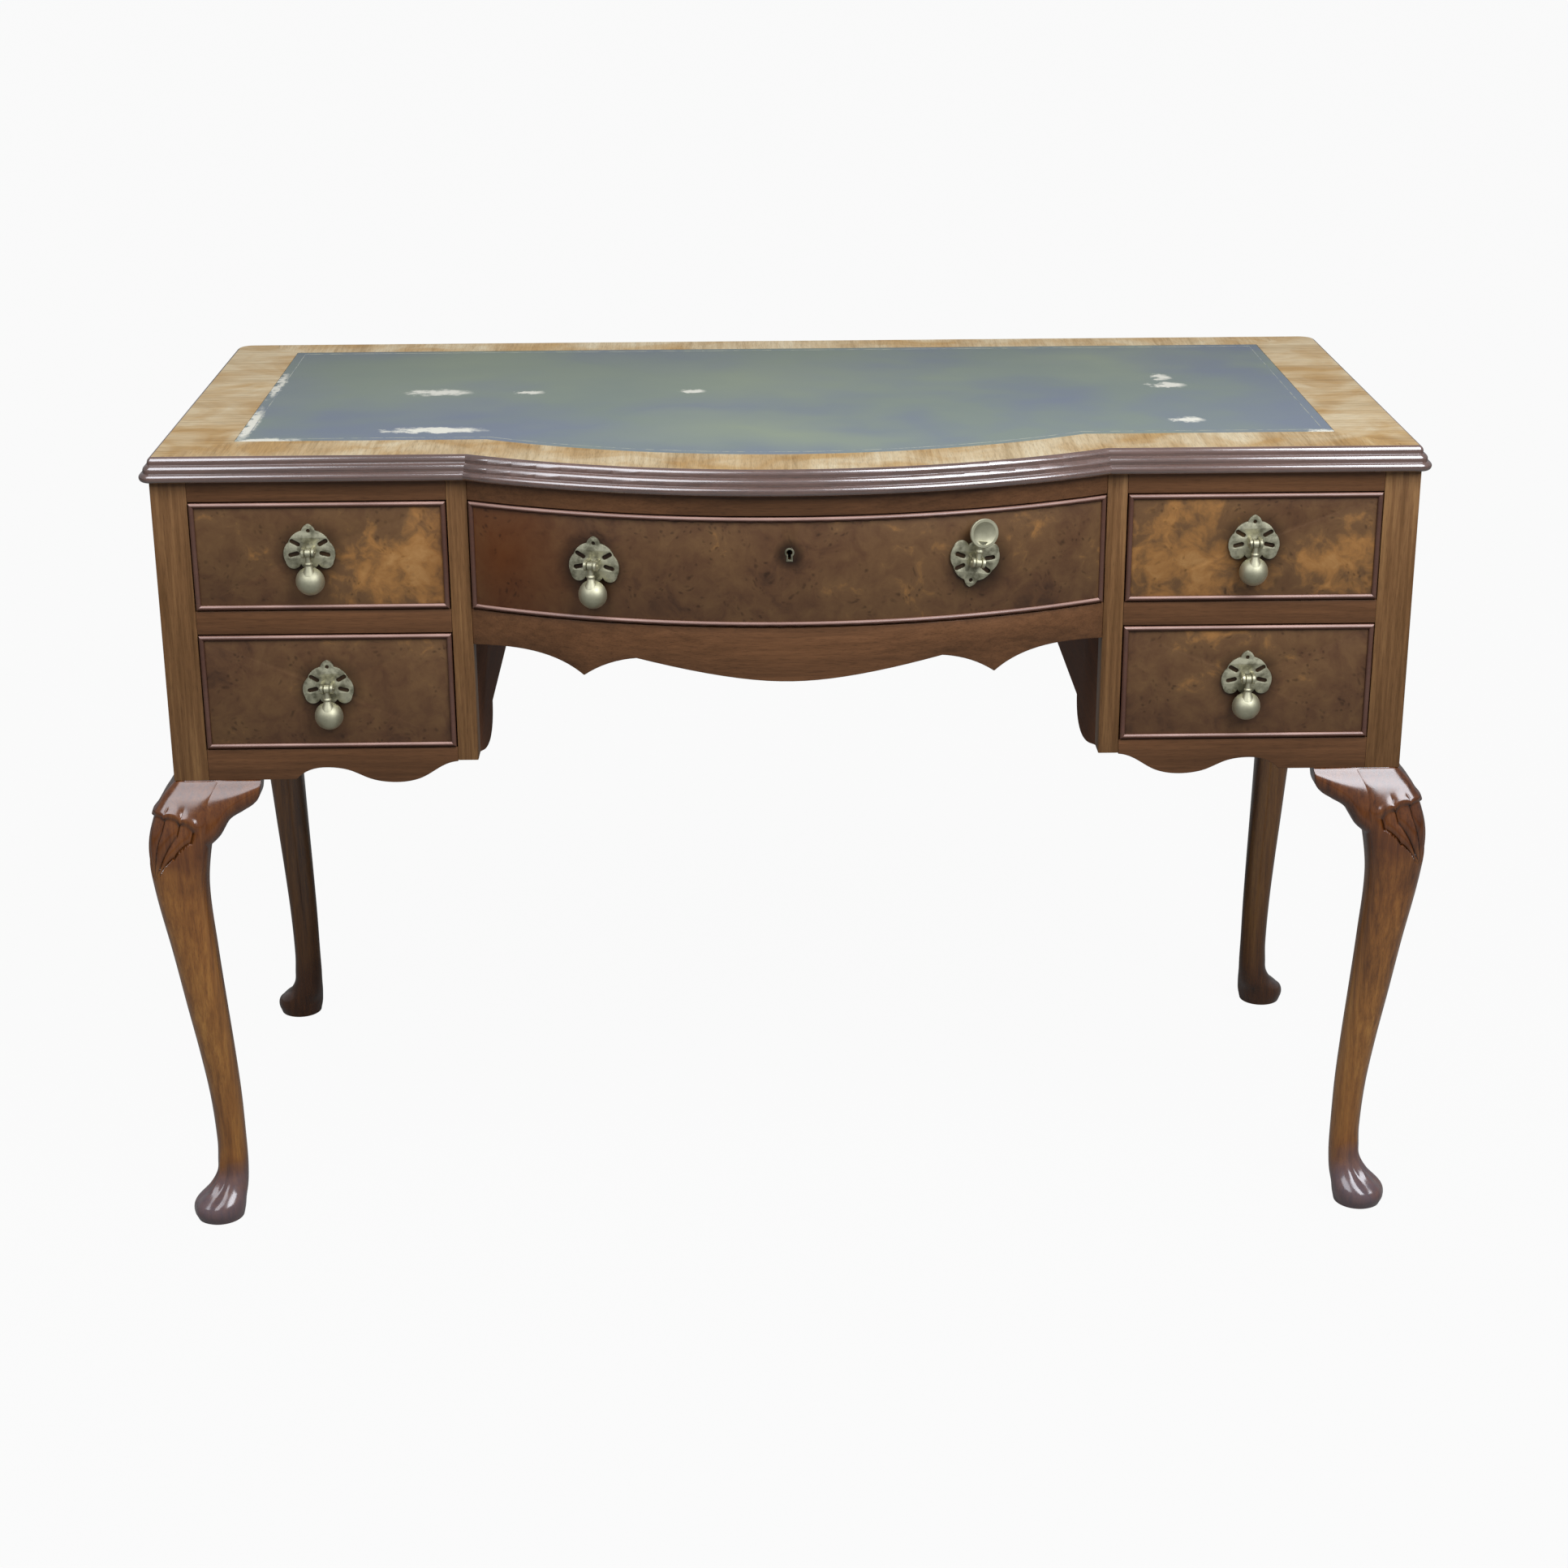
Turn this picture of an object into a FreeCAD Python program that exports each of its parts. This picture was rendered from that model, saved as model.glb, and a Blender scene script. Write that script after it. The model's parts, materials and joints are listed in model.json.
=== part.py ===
import FreeCAD, Part
import math
import os

from FreeCAD import Placement, Rotation, Vector

# Bow-front writing table with cabriole legs, in millimetres.
# +X is the sitter's right, +Y runs to the back, +Z is up.
# The origin is on the floor, in the middle of the table.

# Heights, from the floor up
leg_height = 455.0
apron_height = 30.0
lower_drawer_height = 110.0
divider_height = 22.0
upper_drawer_height = 101.0
top_rail_height = 19.0
edge_height = 22.0

# Widths, from the centre out
centre_opening_width = 571.0
inner_stile_width = 18.5
side_opening_width = 230.0
post_width = 32.0

# Depths, from front to back
case_depth = 502.0
overhang = 9.0
bow_rise = 68.0
post_depth = 45.0
rail_depth = 45.0
apron_thickness = 20.0
stile_depth = 25.0
kneehole_setback = 0.5
panel_thickness = 18.0
back_thickness = 12.0

# Top
edge_width = 12.0
nosing_height = 8.0
back_corner_radius = 25.0
leather_thickness = 1.6
leather_front_margin = 59.0
leather_side_margin = 67.0
leather_back_margin = 43.0
leather_clearance = 0.2

# Shaped lower edges
stile_foot_rise = 17.0
apron_arch_rise = 11.0
apron_drop = 3.5
centre_apron_height = 50.0
centre_arch_rise = 18.5
kneehole_back_rise = 145.0
kneehole_drop_length = 146.0

# Drawers
drawer_gap = 1.0
slide_clearance = 0.3
front_thickness = 18.0
bow_front_thickness = 20.0
bead_width = 4.5
bead_proud = 2.5
lining_thickness = 10.0
drawer_bottom_thickness = 6.0
drawer_bottom_rise = 9.0
drawer_side_drop = 11.0
drawer_back_space = 50.0
runner_width = 24.0
runner_height = 16.0
guide_height = 26.0
bottom_board_thickness = 12.0
kicker_width = 20.0
stop_size = 18.0
stop_height = 6.0

# Legs: reach is how far a section stands out from the block, along X and along Y alike
leg_block = 45.0
front_knee_reach = 24.0
front_knee_width = 59.0
front_ankle_reach = 1.0
front_ankle_width = 28.0
front_pad_reach = 15.0
front_pad_width = 50.0
rear_knee_reach = 6.0
rear_knee_width = 48.0
rear_ankle_reach = -9.5
rear_ankle_width = 28.0
rear_pad_reach = 4.0
rear_pad_width = 49.0
section_points = 24
dowel_radius = 8.0
dowel_length = 48.0
dowel_clearance = 0.15
bracket_length = 55.0
bracket_depth = 67.0
front_bracket_swell = 24.0
rear_bracket_swell = 8.0

# Handles
plate_thickness = 2.2
plate_half_width = 23.0
plate_peak = 24.5
plate_border = 4.0
slot_start = 9.5
slot_width = 3.4
peak_hole_radius = 1.7
pivot_out = 11.0
pin_radius = 1.5
pin_clearance = 0.3
eye_radius = 3.8
eye_width = 5.0
cheek_width = 3.2
cheek_radius = 4.4
cheek_gap = 0.4
drop_length = 27.0
drop_radius = 13.0
drop_back_out = 4.9
neck_clearance = 2.0
drop_dish_depth = 1.2
drop_rim = 2.8
post_radius = 2.5
post_clearance = 0.2
nut_size = 10.0
nut_thickness = 3.5
nut_clearance = 0.05
handle_rise = 6.0
left_upper_handle_shift = 9.0
centre_handle_rise = 4.0
centre_left_handle_x = 171.5
centre_right_handle_x = 163.0
turned_handle_angle = 190.0
turned_drop_lean = 5.0

# Lock
lock_width = 50.0
lock_height = 38.0
lock_thickness = 11.0
lock_wall = 2.0
bolt_width = 20.0
bolt_thickness = 6.0
bolt_height = 22.0
bolt_travel = 8.0
bolt_clearance = 0.4
keyhole_radius = 2.6
keyhole_slot = 2.6
keyhole_drop = 6.5
liner_wall = 1.6
liner_depth = 3.0
liner_proud = 0.5
keyhole_rise = 18.0
liner_clearance = 0.1
floor_clearance = 0.2

# Levels and planes worked out from the sizes above
case_bottom = leg_height
lower_z = case_bottom + apron_height
divider_z = lower_z + lower_drawer_height
upper_z = divider_z + divider_height
rail_z = upper_z + upper_drawer_height
case_top = rail_z + top_rail_height
table_top = case_top + edge_height
stile_x = centre_opening_width / 2
side_x = stile_x + inner_stile_width
post_x = side_x + side_opening_width
case_x = post_x + post_width
panel_x = case_x - panel_thickness
knee_x = stile_x + kneehole_setback
back_edge_y = (case_depth + 2 * overhang + bow_rise) / 2
back_y = back_edge_y - overhang
face_y = back_y - case_depth
inner_back_y = back_y - back_thickness
drawer_length = inner_back_y - face_y - drawer_back_space
core_x = case_x + overhang - edge_width
core_back_y = back_edge_y - edge_width
core_offset = overhang - edge_width
core_corner = back_corner_radius - edge_width

# The bow is one arc that springs from the inner stiles
bow_radius = (stile_x ** 2 + bow_rise ** 2) / (2 * bow_rise)
bow_centre_y = face_y - bow_rise + bow_radius
bow_sweep = math.degrees(math.asin(stile_x / bow_radius))

far = 2000.0
along_x = Vector(1, 0, 0)
along_y = Vector(0, 1, 0)
along_z = Vector(0, 0, 1)


def mix(start, end, share):
    return start + (end - start) * share


def box(x0, x1, y0, y1, z0, z1):
    return Part.makeBox(x1 - x0, y1 - y0, z1 - z0, Vector(x0, y0, z0))


def line(start, end):
    return Part.LineSegment(start, end).toShape()


def arc(start, middle, end):
    return Part.Arc(start, middle, end).toShape()


def curve(points):
    spline = Part.BSplineCurve()
    spline.interpolate(points)
    return spline.toShape()


def solid_between(wire, travel):
    return Part.Face(wire).extrude(travel)


def mirrored(shape):
    return shape.mirror(Vector(0, 0, 0), along_x)


def mirrored_point(point):
    return Vector(-point.x, point.y, point.z)


def both_sides(solids):
    return list(solids) + [mirrored(solid) for solid in solids]


def beyond(point, degrees):
    """Everything on the far side of an upright plane that faces the given way."""
    block = box(0, far, -far, far, -far, far)
    block.Placement = Placement(point, Rotation(along_z, degrees))
    return block


def save(name, *solids):
    shape = solids[0] if len(solids) == 1 else Part.makeCompound(list(solids))
    shape.exportStep("parts/" + name + ".step")


# The bowed front line

def on_bow(offset, angle, z):
    """Point of the bow, offset forward of the case front."""
    radius = bow_radius + offset
    return Vector(radius * math.sin(angle), bow_centre_y - radius * math.cos(angle), z)


def bow_end(offset):
    """Half width at which the bow, moved forward by offset, meets the straight front."""
    return math.sqrt(stile_x ** 2 + 2 * bow_rise * offset)


def bow_edges(offset, reach, z):
    """Front line of the case moved forward by offset, from left to right."""
    level_y = face_y - offset
    left = Vector(-bow_end(offset), level_y, z)
    right = Vector(bow_end(offset), level_y, z)
    straight = line(Vector(-reach, level_y, z), left)
    return [straight, arc(left, on_bow(offset, 0, z), right), line(right, Vector(reach, level_y, z))]


def bow_slab(outer, inner, half_width, z0, z1):
    """Board that follows the bow between two offsets from the case front."""
    reach = half_width + inner_stile_width
    front = bow_edges(outer, reach, z0)
    rear = bow_edges(inner, reach, z0)
    ends = [line(front[0].Vertexes[0].Point, rear[0].Vertexes[0].Point)]
    ends.append(line(front[-1].Vertexes[-1].Point, rear[-1].Vertexes[-1].Point))
    wire = Part.Wire(Part.__sortEdges__(front + rear + ends))
    board = solid_between(wire, Vector(0, 0, z1 - z0))
    return board.common(box(-half_width, half_width, -far, far, z0, z1))


def behind_bow(offset, half_width, y1, z0, z1):
    """Flat board with a bowed front edge."""
    reach = half_width + stile_x
    front = bow_edges(offset, reach, z0)
    corners = [front[-1].Vertexes[-1].Point, Vector(reach, y1, z0)]
    corners += [Vector(-reach, y1, z0), front[0].Vertexes[0].Point]
    sides = [line(corners[i], corners[i + 1]) for i in range(3)]
    board = solid_between(Part.Wire(front + sides), Vector(0, 0, z1 - z0))
    return board.common(box(-half_width, half_width, -far, far, z0, z1))


def section_at(profile, x, y):
    """Moulding section standing across the run, with u forward and v up."""
    return Part.Face(profile(lambda u, v: Vector(x, y - u, v)))


def bow_run(profile, sweep):
    """Moulding that follows the bow, turned this far to each side of its middle."""
    crown = section_at(profile, 0, face_y - bow_rise)
    crown.rotate(Vector(0, bow_centre_y, 0), along_z, -sweep)
    return crown.revolve(Vector(0, bow_centre_y, 0), along_z, 2 * sweep)


def straight_run(profile, x0, x1):
    """Moulding along the straight front, from x0 to x1."""
    return section_at(profile, x0, face_y).extrude(Vector(x1 - x0, 0, 0))


# Top

def ovolo(start, end, at):
    """Round member from its foot up to its top, which is set back."""
    belly = at(mix(end[0], start[0], 0.72), mix(start[1], end[1], 0.72))
    return arc(at(*start), belly, at(*end))


def edge_profile(at):
    """Round nosing under two ovolos, each set back from the member below."""
    base = (core_offset, case_top)
    nose_u = overhang - nosing_height / 2
    nose_z = case_top + nosing_height
    quirk = 0.1 * nosing_height
    lower_foot = (nose_u, nose_z + quirk)
    lower_top = (mix(core_offset, nose_u, 0.56), mix(nose_z, table_top, 0.5))
    quirk_in = (lower_top[0] - quirk, lower_top[1])
    upper_foot = (quirk_in[0], quirk_in[1] + quirk)
    crest = (core_offset, table_top)
    nose_mid = at(overhang, case_top + nosing_height / 2)
    edges = [line(at(*base), at(nose_u, case_top)), arc(at(nose_u, case_top), nose_mid, at(nose_u, nose_z))]
    edges += [line(at(nose_u, nose_z), at(*lower_foot)), ovolo(lower_foot, lower_top, at)]
    edges += [line(at(*lower_top), at(*quirk_in)), line(at(*quirk_in), at(*upper_foot))]
    edges += [ovolo(upper_foot, crest, at), line(at(*crest), at(*base))]
    return Part.Wire(edges)


def side_run(profile, y0, y1):
    """Left side moulding, with its face towards -X, from y0 at the front to y1."""
    run = straight_run(profile, -y1, -y0)
    run.translate(Vector(0, -face_y, 0))
    run.rotate(Vector(0, 0, 0), along_z, -90)
    run.translate(Vector(-case_x, 0, 0))
    return run


def build_edge_mouldings():
    corner = Vector(-core_x, face_y - core_offset, 0)
    bow_break = Vector(-stile_x, face_y, 0)
    mitre = bow_sweep / 2
    straight = straight_run(edge_profile, -core_x, overhang - stile_x).cut(beyond(bow_break, -mitre))
    round_end = section_at(edge_profile, -core_x, face_y).revolve(corner, along_z, -90)
    front_left = straight.fuse(round_end).removeSplitter()
    bow = bow_run(edge_profile, bow_sweep + mitre).cut(beyond(bow_break, 180 - mitre))
    bow = bow.cut(beyond(mirrored_point(bow_break), mitre))
    save("front_moulding", front_left, bow, mirrored(front_left))
    corner_y = core_back_y - core_corner
    side = side_run(edge_profile, face_y - core_offset, corner_y)
    save("left_side_moulding", side)
    save("right_side_moulding", mirrored(side))
    back_corner = side_run(edge_profile, corner_y, corner_y + 1).Faces
    across = min(back_corner, key=lambda face: face.CenterOfMass.y)
    turn = across.revolve(Vector(-core_x + core_corner, corner_y, 0), along_z, -90)
    long_run = straight_run(edge_profile, -core_x + core_corner, core_x - core_corner)
    long_run.rotate(Vector(0, face_y, 0), along_z, 180)
    long_run.translate(Vector(0, back_y - face_y, 0))
    save("back_moulding", long_run.multiFuse([turn, mirrored(turn)]).removeSplitter())


def leather_sheet(clearance, z0, z1):
    half = case_x - leather_side_margin - clearance
    back = back_y - leather_back_margin - clearance
    return behind_bow(-leather_front_margin - clearance, half, back, z0, z1)


def build_top():
    core = behind_bow(core_offset, core_x, core_back_y, case_top, table_top)
    back_edges = []
    for edge in core.Edges:
        middle = edge.CenterOfMass
        if abs(middle.y - core_back_y) < 0.01 and abs(middle.z - (case_top + table_top) / 2) < 0.01:
            back_edges.append(edge)
    core = core.makeFillet(core_corner, back_edges)
    recess_z = table_top - leather_thickness
    save("top_panel", core.cut(leather_sheet(0, recess_z, table_top + 1)))
    save("leather_inset", leather_sheet(leather_clearance, recess_z, table_top))
    build_edge_mouldings()


# Case

def apron_outline(at):
    """Lower edge of a side apron from the post to the inner stile, and its straight top."""
    arch = case_bottom + apron_arch_rise
    shoulder = mix(case_bottom, arch, 0.9)
    drop = case_bottom - apron_drop
    foot = mix(case_bottom, case_bottom + stile_foot_rise, 0.94)
    stations = ((0.35, case_bottom), (0.42, shoulder), (0.5, arch), (0.565, mix(case_bottom, arch, 0.73)))
    stations += ((0.643, case_bottom), (0.713, drop), (0.783, drop), (0.857, mix(case_bottom, arch, 0.09)))
    stations += ((0.93, arch), (1.0, foot))
    points = [at(post_x - share * side_opening_width, z) for share, z in stations]
    start = at(post_x, case_bottom)
    top = [at(side_x, lower_z), at(post_x, lower_z)]
    edges = [line(start, points[0]), curve(points), line(points[-1], top[0])]
    edges += [line(top[0], top[1]), line(top[1], start)]
    return Part.Wire(edges)


def centre_apron_outline(at):
    """Pendant in the middle, a cusp on each side and an arch next to each stile."""
    low = upper_z - centre_apron_height
    pendant = [(-0.477, 1), (-0.235, 0.32), (0, 0), (0.235, 0.32), (0.477, 1)]
    fall = [(0.477, 1), (0.569, 0.62), (0.644, -0.05)]
    rise = [(0.644, -0.05), (0.73, 0.68), (0.84, 1), (1, 0.89)]

    def run(pairs, side):
        return curve([at(side * share * stile_x, low + lift * centre_arch_rise) for share, lift in pairs])

    edges = [run(pendant, 1)]
    for side in (-1, 1):
        edges += [run(fall, side), run(rise, side)]
        end_z = low + rise[-1][1] * centre_arch_rise
        edges.append(line(at(side * stile_x, end_z), at(side * stile_x, upper_z)))
    edges.append(line(at(-stile_x, upper_z), at(stile_x, upper_z)))
    return Part.Wire(Part.__sortEdges__(edges))


def kneehole_outline(at):
    """Kneehole side panel, whose lower edge drops in a bracket near the front."""
    foot = case_bottom + stile_foot_rise
    start = face_y + stile_depth
    drop = case_bottom - 2 * apron_drop
    stations = ((0, mix(case_bottom, foot, 0.94)), (0.295, mix(case_bottom, foot, 0.18)), (0.603, drop))
    stations += ((0.795, mix(drop, foot, -0.04)), (0.945, mix(drop, foot, 0.29)), (1.0, foot))
    slope = [at(start + share * kneehole_drop_length, z) for share, z in stations]
    edges = [curve(slope), line(slope[-1], at(inner_back_y, foot))]
    edges.append(line(at(inner_back_y, foot), at(inner_back_y, case_top)))
    edges.append(line(at(inner_back_y, case_top), at(start, case_top)))
    edges.append(line(at(start, case_top), slope[0]))
    return Part.Wire(edges)


def dowel_hole(x, y):
    length = dowel_length + dowel_clearance
    return Part.makeCylinder(dowel_radius + dowel_clearance, length, Vector(x, y, case_bottom))


def build_posts():
    front = box(-case_x, -post_x, face_y, face_y + post_depth, case_bottom, case_top)
    front = front.cut(dowel_hole(*front_dowel))
    rear = box(-case_x, -post_x, back_y - post_depth, back_y, case_bottom, case_top)
    rear = rear.cut(dowel_hole(*rear_dowel))
    save("front_left_post", front)
    save("front_right_post", mirrored(front))
    save("rear_left_post", rear)
    save("rear_right_post", mirrored(rear))


def build_case():
    foot = case_bottom + stile_foot_rise
    stile = box(-side_x, -stile_x, face_y, face_y + stile_depth, foot, case_top)
    save("left_inner_stile", stile)
    save("right_inner_stile", mirrored(stile))
    side_panel = box(-case_x, -panel_x, face_y + post_depth, back_y - post_depth, case_bottom, case_top)
    save("left_side_panel", side_panel)
    save("right_side_panel", mirrored(side_panel))
    outline = kneehole_outline(lambda y, z: Vector(-side_x, y, z))
    knee_panel = solid_between(outline, Vector(side_x - knee_x, 0, 0))
    save("left_kneehole_panel", knee_panel)
    save("right_kneehole_panel", mirrored(knee_panel))
    back = box(-post_x, post_x, inner_back_y, back_y, foot, case_top)
    gap = box(-knee_x, knee_x, inner_back_y - 1, back_y + 1, foot - 1, case_bottom + kneehole_back_rise)
    save("back_panel", back.cut(gap))
    top_rail = box(-post_x, -side_x, face_y, face_y + rail_depth, rail_z, case_top)
    divider = box(-post_x, -side_x, face_y, face_y + rail_depth, divider_z, upper_z)
    save("pedestal_rails", *both_sides([top_rail, divider]))
    centre_rail = bow_slab(0, -rail_depth, stile_x, rail_z, case_top)
    save("centre_top_rail", centre_rail.cut(bolt_mortise()))
    apron_wire = apron_outline(lambda x, z: Vector(-x, face_y, z))
    apron = solid_between(apron_wire, Vector(0, apron_thickness, 0))
    save("left_apron", apron)
    save("right_apron", mirrored(apron))
    shape_wire = centre_apron_outline(lambda x, z: Vector(x, face_y - bow_rise - 1, z))
    shape = solid_between(shape_wire, Vector(0, bow_rise + apron_thickness + 2, 0))
    bowed = bow_slab(0, -apron_thickness, stile_x, upper_z - 2 * centre_apron_height, upper_z)
    save("centre_apron", bowed.common(shape))


def build_drawer_supports():
    rear = inner_back_y
    side_front = face_y + post_depth
    side_rear = back_y - post_depth
    board_z = lower_z - bottom_board_thickness
    board = box(-post_x, -side_x, face_y + apron_thickness, rear, board_z, lower_z)
    save("pedestal_bottoms", *both_sides([board]))
    runner_z = upper_z - runner_height
    rail_back = face_y + rail_depth
    outer = box(-post_x, runner_width - post_x, rail_back, rear, runner_z, upper_z)
    inner = box(-side_x - runner_width, -side_x, rail_back, rear, runner_z, upper_z)
    centre = box(-knee_x, runner_width - knee_x, face_y + stile_depth, rear, runner_z, upper_z)
    guides = []
    for level in (lower_z, upper_z):
        low = level - bottom_board_thickness
        guides.append(box(-panel_x, -post_x, side_front, side_rear, low, low + guide_height))
    save("drawer_runners", *both_sides([outer, inner, centre] + guides))
    kickers = [box(-panel_x, kicker_width - panel_x, side_front, side_rear, rail_z, case_top)]
    kickers.append(box(-side_x - kicker_width, -side_x, rail_back, rear, rail_z, case_top))
    kickers.append(box(-knee_x, kicker_width - knee_x, rail_back, rear, rail_z, case_top))
    save("kicker_strips", *both_sides(kickers))
    stops = []
    stop_y = face_y + front_thickness + slide_clearance
    middle_x = (side_x + post_x) / 2
    for low in (lower_z, upper_z):
        for x in (-middle_x - runner_width, -middle_x + runner_width):
            stops.append(box(x, x + stop_size, stop_y, stop_y + stop_size, low, low + stop_height))
    rear_stop_y = face_y + drawer_length + slide_clearance
    stops.append(box(-knee_x, stop_size - knee_x, rear_stop_y, rear_stop_y + stop_size, upper_z,
                     upper_z + stop_height))
    save("drawer_stops", *both_sides(stops))


# Legs

front_centre = (-case_x + leg_block / 2, face_y + leg_block / 2)
rear_centre = (-case_x + leg_block / 2, back_y - leg_block / 2)
front_dowel = (-case_x + post_width / 2, face_y + post_depth / 2)
rear_dowel = (-case_x + post_width / 2, back_y - post_depth / 2)


def leg_stations(knee_reach, knee, ankle_reach, ankle, pad_reach, pad):
    """Share of the leg's height, reach, width, and how square each section is: 2 is a circle."""
    return (
        (1.000, 0.0, leg_block, 8.0),
        (0.967, 0.36 * knee_reach, mix(leg_block, knee, 0.72), 5.5),
        (0.908, 0.73 * knee_reach, knee, 4.2),
        (0.855, 0.92 * knee_reach, mix(knee, ankle, 0.11), 3.6),
        (0.765, 0.95 * knee_reach, mix(knee, ankle, 0.36), 3.0),
        (0.620, mix(knee_reach, ankle_reach, 0.31), mix(knee, ankle, 0.58), 2.6),
        (0.500, mix(knee_reach, ankle_reach, 0.53), mix(knee, ankle, 0.71), 2.4),
        (0.380, mix(knee_reach, ankle_reach, 0.76), mix(knee, ankle, 0.85), 2.3),
        (0.270, mix(knee_reach, ankle_reach, 0.93), mix(knee, ankle, 0.95), 2.1),
        (0.165, ankle_reach, ankle, 2.0),
        (0.120, mix(ankle_reach, pad_reach, 0.03), mix(ankle, pad, 0.06), 2.0),
        (0.090, mix(ankle_reach, pad_reach, 0.10), mix(ankle, pad, 0.12), 2.0),
        (0.062, mix(ankle_reach, pad_reach, 0.40), mix(ankle, pad, 0.45), 2.0),
        (0.038, mix(ankle_reach, pad_reach, 0.88), mix(ankle, pad, 0.93), 2.0),
        (0.020, pad_reach, pad, 2.0),
        (0.000, mix(ankle_reach, pad_reach, 0.96), mix(ankle, pad, 0.76), 2.0),
    )


def leg_section(x, y, z, width, squareness):
    half = width / 2
    points = []
    for step in range(section_points):
        angle = 2 * math.pi * (step + 0.5) / section_points
        across = math.cos(angle)
        along = math.sin(angle)
        dx = math.copysign(abs(across) ** (2 / squareness), across) * half
        dy = math.copysign(abs(along) ** (2 / squareness), along) * half
        points.append(Vector(x + dx, y + dy, z))
    outline = Part.BSplineCurve()
    outline.interpolate(points, PeriodicFlag=True)
    return Part.Wire(outline.toShape())


def cabriole_leg(centre, stations, back, dowel):
    """Leg on the left, swelling out towards -X and towards the front, or the back for a rear leg."""
    sections = []
    for height, reach, width, squareness in stations:
        x = centre[0] - reach
        y = centre[1] + (reach if back else -reach)
        sections.append(leg_section(x, y, height * leg_height, width, squareness))
    leg = Part.makeLoft(sections, True, False)
    peg = Part.makeCylinder(dowel_radius, dowel_length, Vector(dowel[0], dowel[1], case_bottom))
    return leg.fuse(peg)


def knee_bracket(swell):
    """Bracket beside the front left knee, sawn to three outlines: front, side and plan."""
    heel = -case_x + 0.55 * leg_block
    tip = heel + bracket_length
    inside = heel - 0.15 * leg_block
    base = case_bottom - bracket_depth
    y0 = face_y - leg_block
    y1 = face_y + apron_thickness
    scroll = ((0, 0), (0.036, 0.21), (0.145, 0.343), (0.31, 0.433), (0.564, 0.567), (0.745, 0.806))
    scroll += ((0.9, 0.925), (1, 1))
    points = [Vector(mix(tip, heel, run), y0, mix(case_bottom, base, drop)) for run, drop in scroll]
    corners = [points[-1], Vector(inside, y0, base), Vector(inside, y0, case_bottom), points[0]]
    front = [curve(points)] + [line(corners[i], corners[i + 1]) for i in range(3)]
    block = solid_between(Part.Wire(front), Vector(0, y1 - y0, 0))
    crown = ((0, 0), (0.22, 0.52), (0.45, 0.8), (0.63, 0.95), (1.02, 1.0))
    points = [Vector(inside, face_y - out * swell, mix(case_bottom, base, drop)) for drop, out in crown]
    corners = [points[-1], Vector(inside, y1, points[-1].z), Vector(inside, y1, case_bottom), points[0]]
    side = [curve(points)] + [line(corners[i], corners[i + 1]) for i in range(3)]
    block = block.common(solid_between(Part.Wire(side), Vector(tip - inside, 0, 0)))
    plan = [Vector(inside, face_y - 1.25 * swell, base), Vector(tip, face_y - 0.2 * swell, base)]
    plan += [Vector(tip, y1, base), Vector(inside, y1, base)]
    outline = Part.makePolygon(plan + [plan[0]])
    return block.common(solid_between(outline, Vector(0, 0, bracket_depth)))


def across_corner(shape, centre):
    """Mirror image about the upright plane through the front left leg's diagonal."""
    return shape.mirror(Vector(centre[0], centre[1], 0), Vector(1, -1, 0))


def to_rear(shape):
    return shape.mirror(Vector(0, (face_y + back_y) / 2, 0), along_y)


def build_legs():
    stations = leg_stations(front_knee_reach, front_knee_width, front_ankle_reach, front_ankle_width,
                            front_pad_reach, front_pad_width)
    front = cabriole_leg(front_centre, stations, False, front_dowel)
    stations = leg_stations(rear_knee_reach, rear_knee_width, rear_ankle_reach, rear_ankle_width,
                            rear_pad_reach, rear_pad_width)
    rear = cabriole_leg(rear_centre, stations, True, rear_dowel)
    save("front_left_leg", front)
    save("front_right_leg", mirrored(front))
    save("rear_left_leg", rear)
    save("rear_right_leg", mirrored(rear))
    facing = knee_bracket(front_bracket_swell)
    brackets = [facing.cut(front), across_corner(facing, front_centre).cut(front)]
    plain = to_rear(across_corner(knee_bracket(rear_bracket_swell), front_centre))
    save("knee_brackets", *both_sides(brackets + [plain.cut(rear)]))


# Handles, modelled on an upright face at y = 0 with the room in front of it at -Y

def plate_outline():
    """Pointed peak over a shoulder and a round wing on each side, with a scalloped foot."""
    tips = ((0, 1), (0.27, 0.74), (0.8, 0.31), (0.93, -0.42), (0.34, -0.52), (0, -0.72))
    swells = ((0.17, 0.9), (0.58, 0.6), (1.0, -0.05), (0.68, -0.68), (0.2, -0.66))

    def at(across, up):
        return Vector(across * plate_half_width, 0, up * plate_peak)

    right = [arc(at(*tips[i]), at(*swells[i]), at(*tips[i + 1])) for i in range(len(swells))]
    left = [mirrored(edge) for edge in right]
    return Part.Wire(Part.__sortEdges__(right + left))


def piercing(angle, reach0, reach1, width):
    """Tapered slot with a round end that points away from the middle of the plate."""
    wide = width / 2
    narrow = 0.6 * wide
    end = reach1 - wide
    corners = [Vector(reach0, 1, -narrow), Vector(end, 1, -wide)]
    corners += [Vector(end, 1, wide), Vector(reach0, 1, narrow)]
    edges = [line(corners[0], corners[1]), arc(corners[1], Vector(reach1, 1, 0), corners[2])]
    edges += [line(corners[2], corners[3]), line(corners[3], corners[0])]
    slot = solid_between(Part.Wire(edges), Vector(0, -plate_thickness - 2, 0))
    slot.rotate(Vector(0, 0, 0), along_y, -angle)
    return slot


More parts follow.
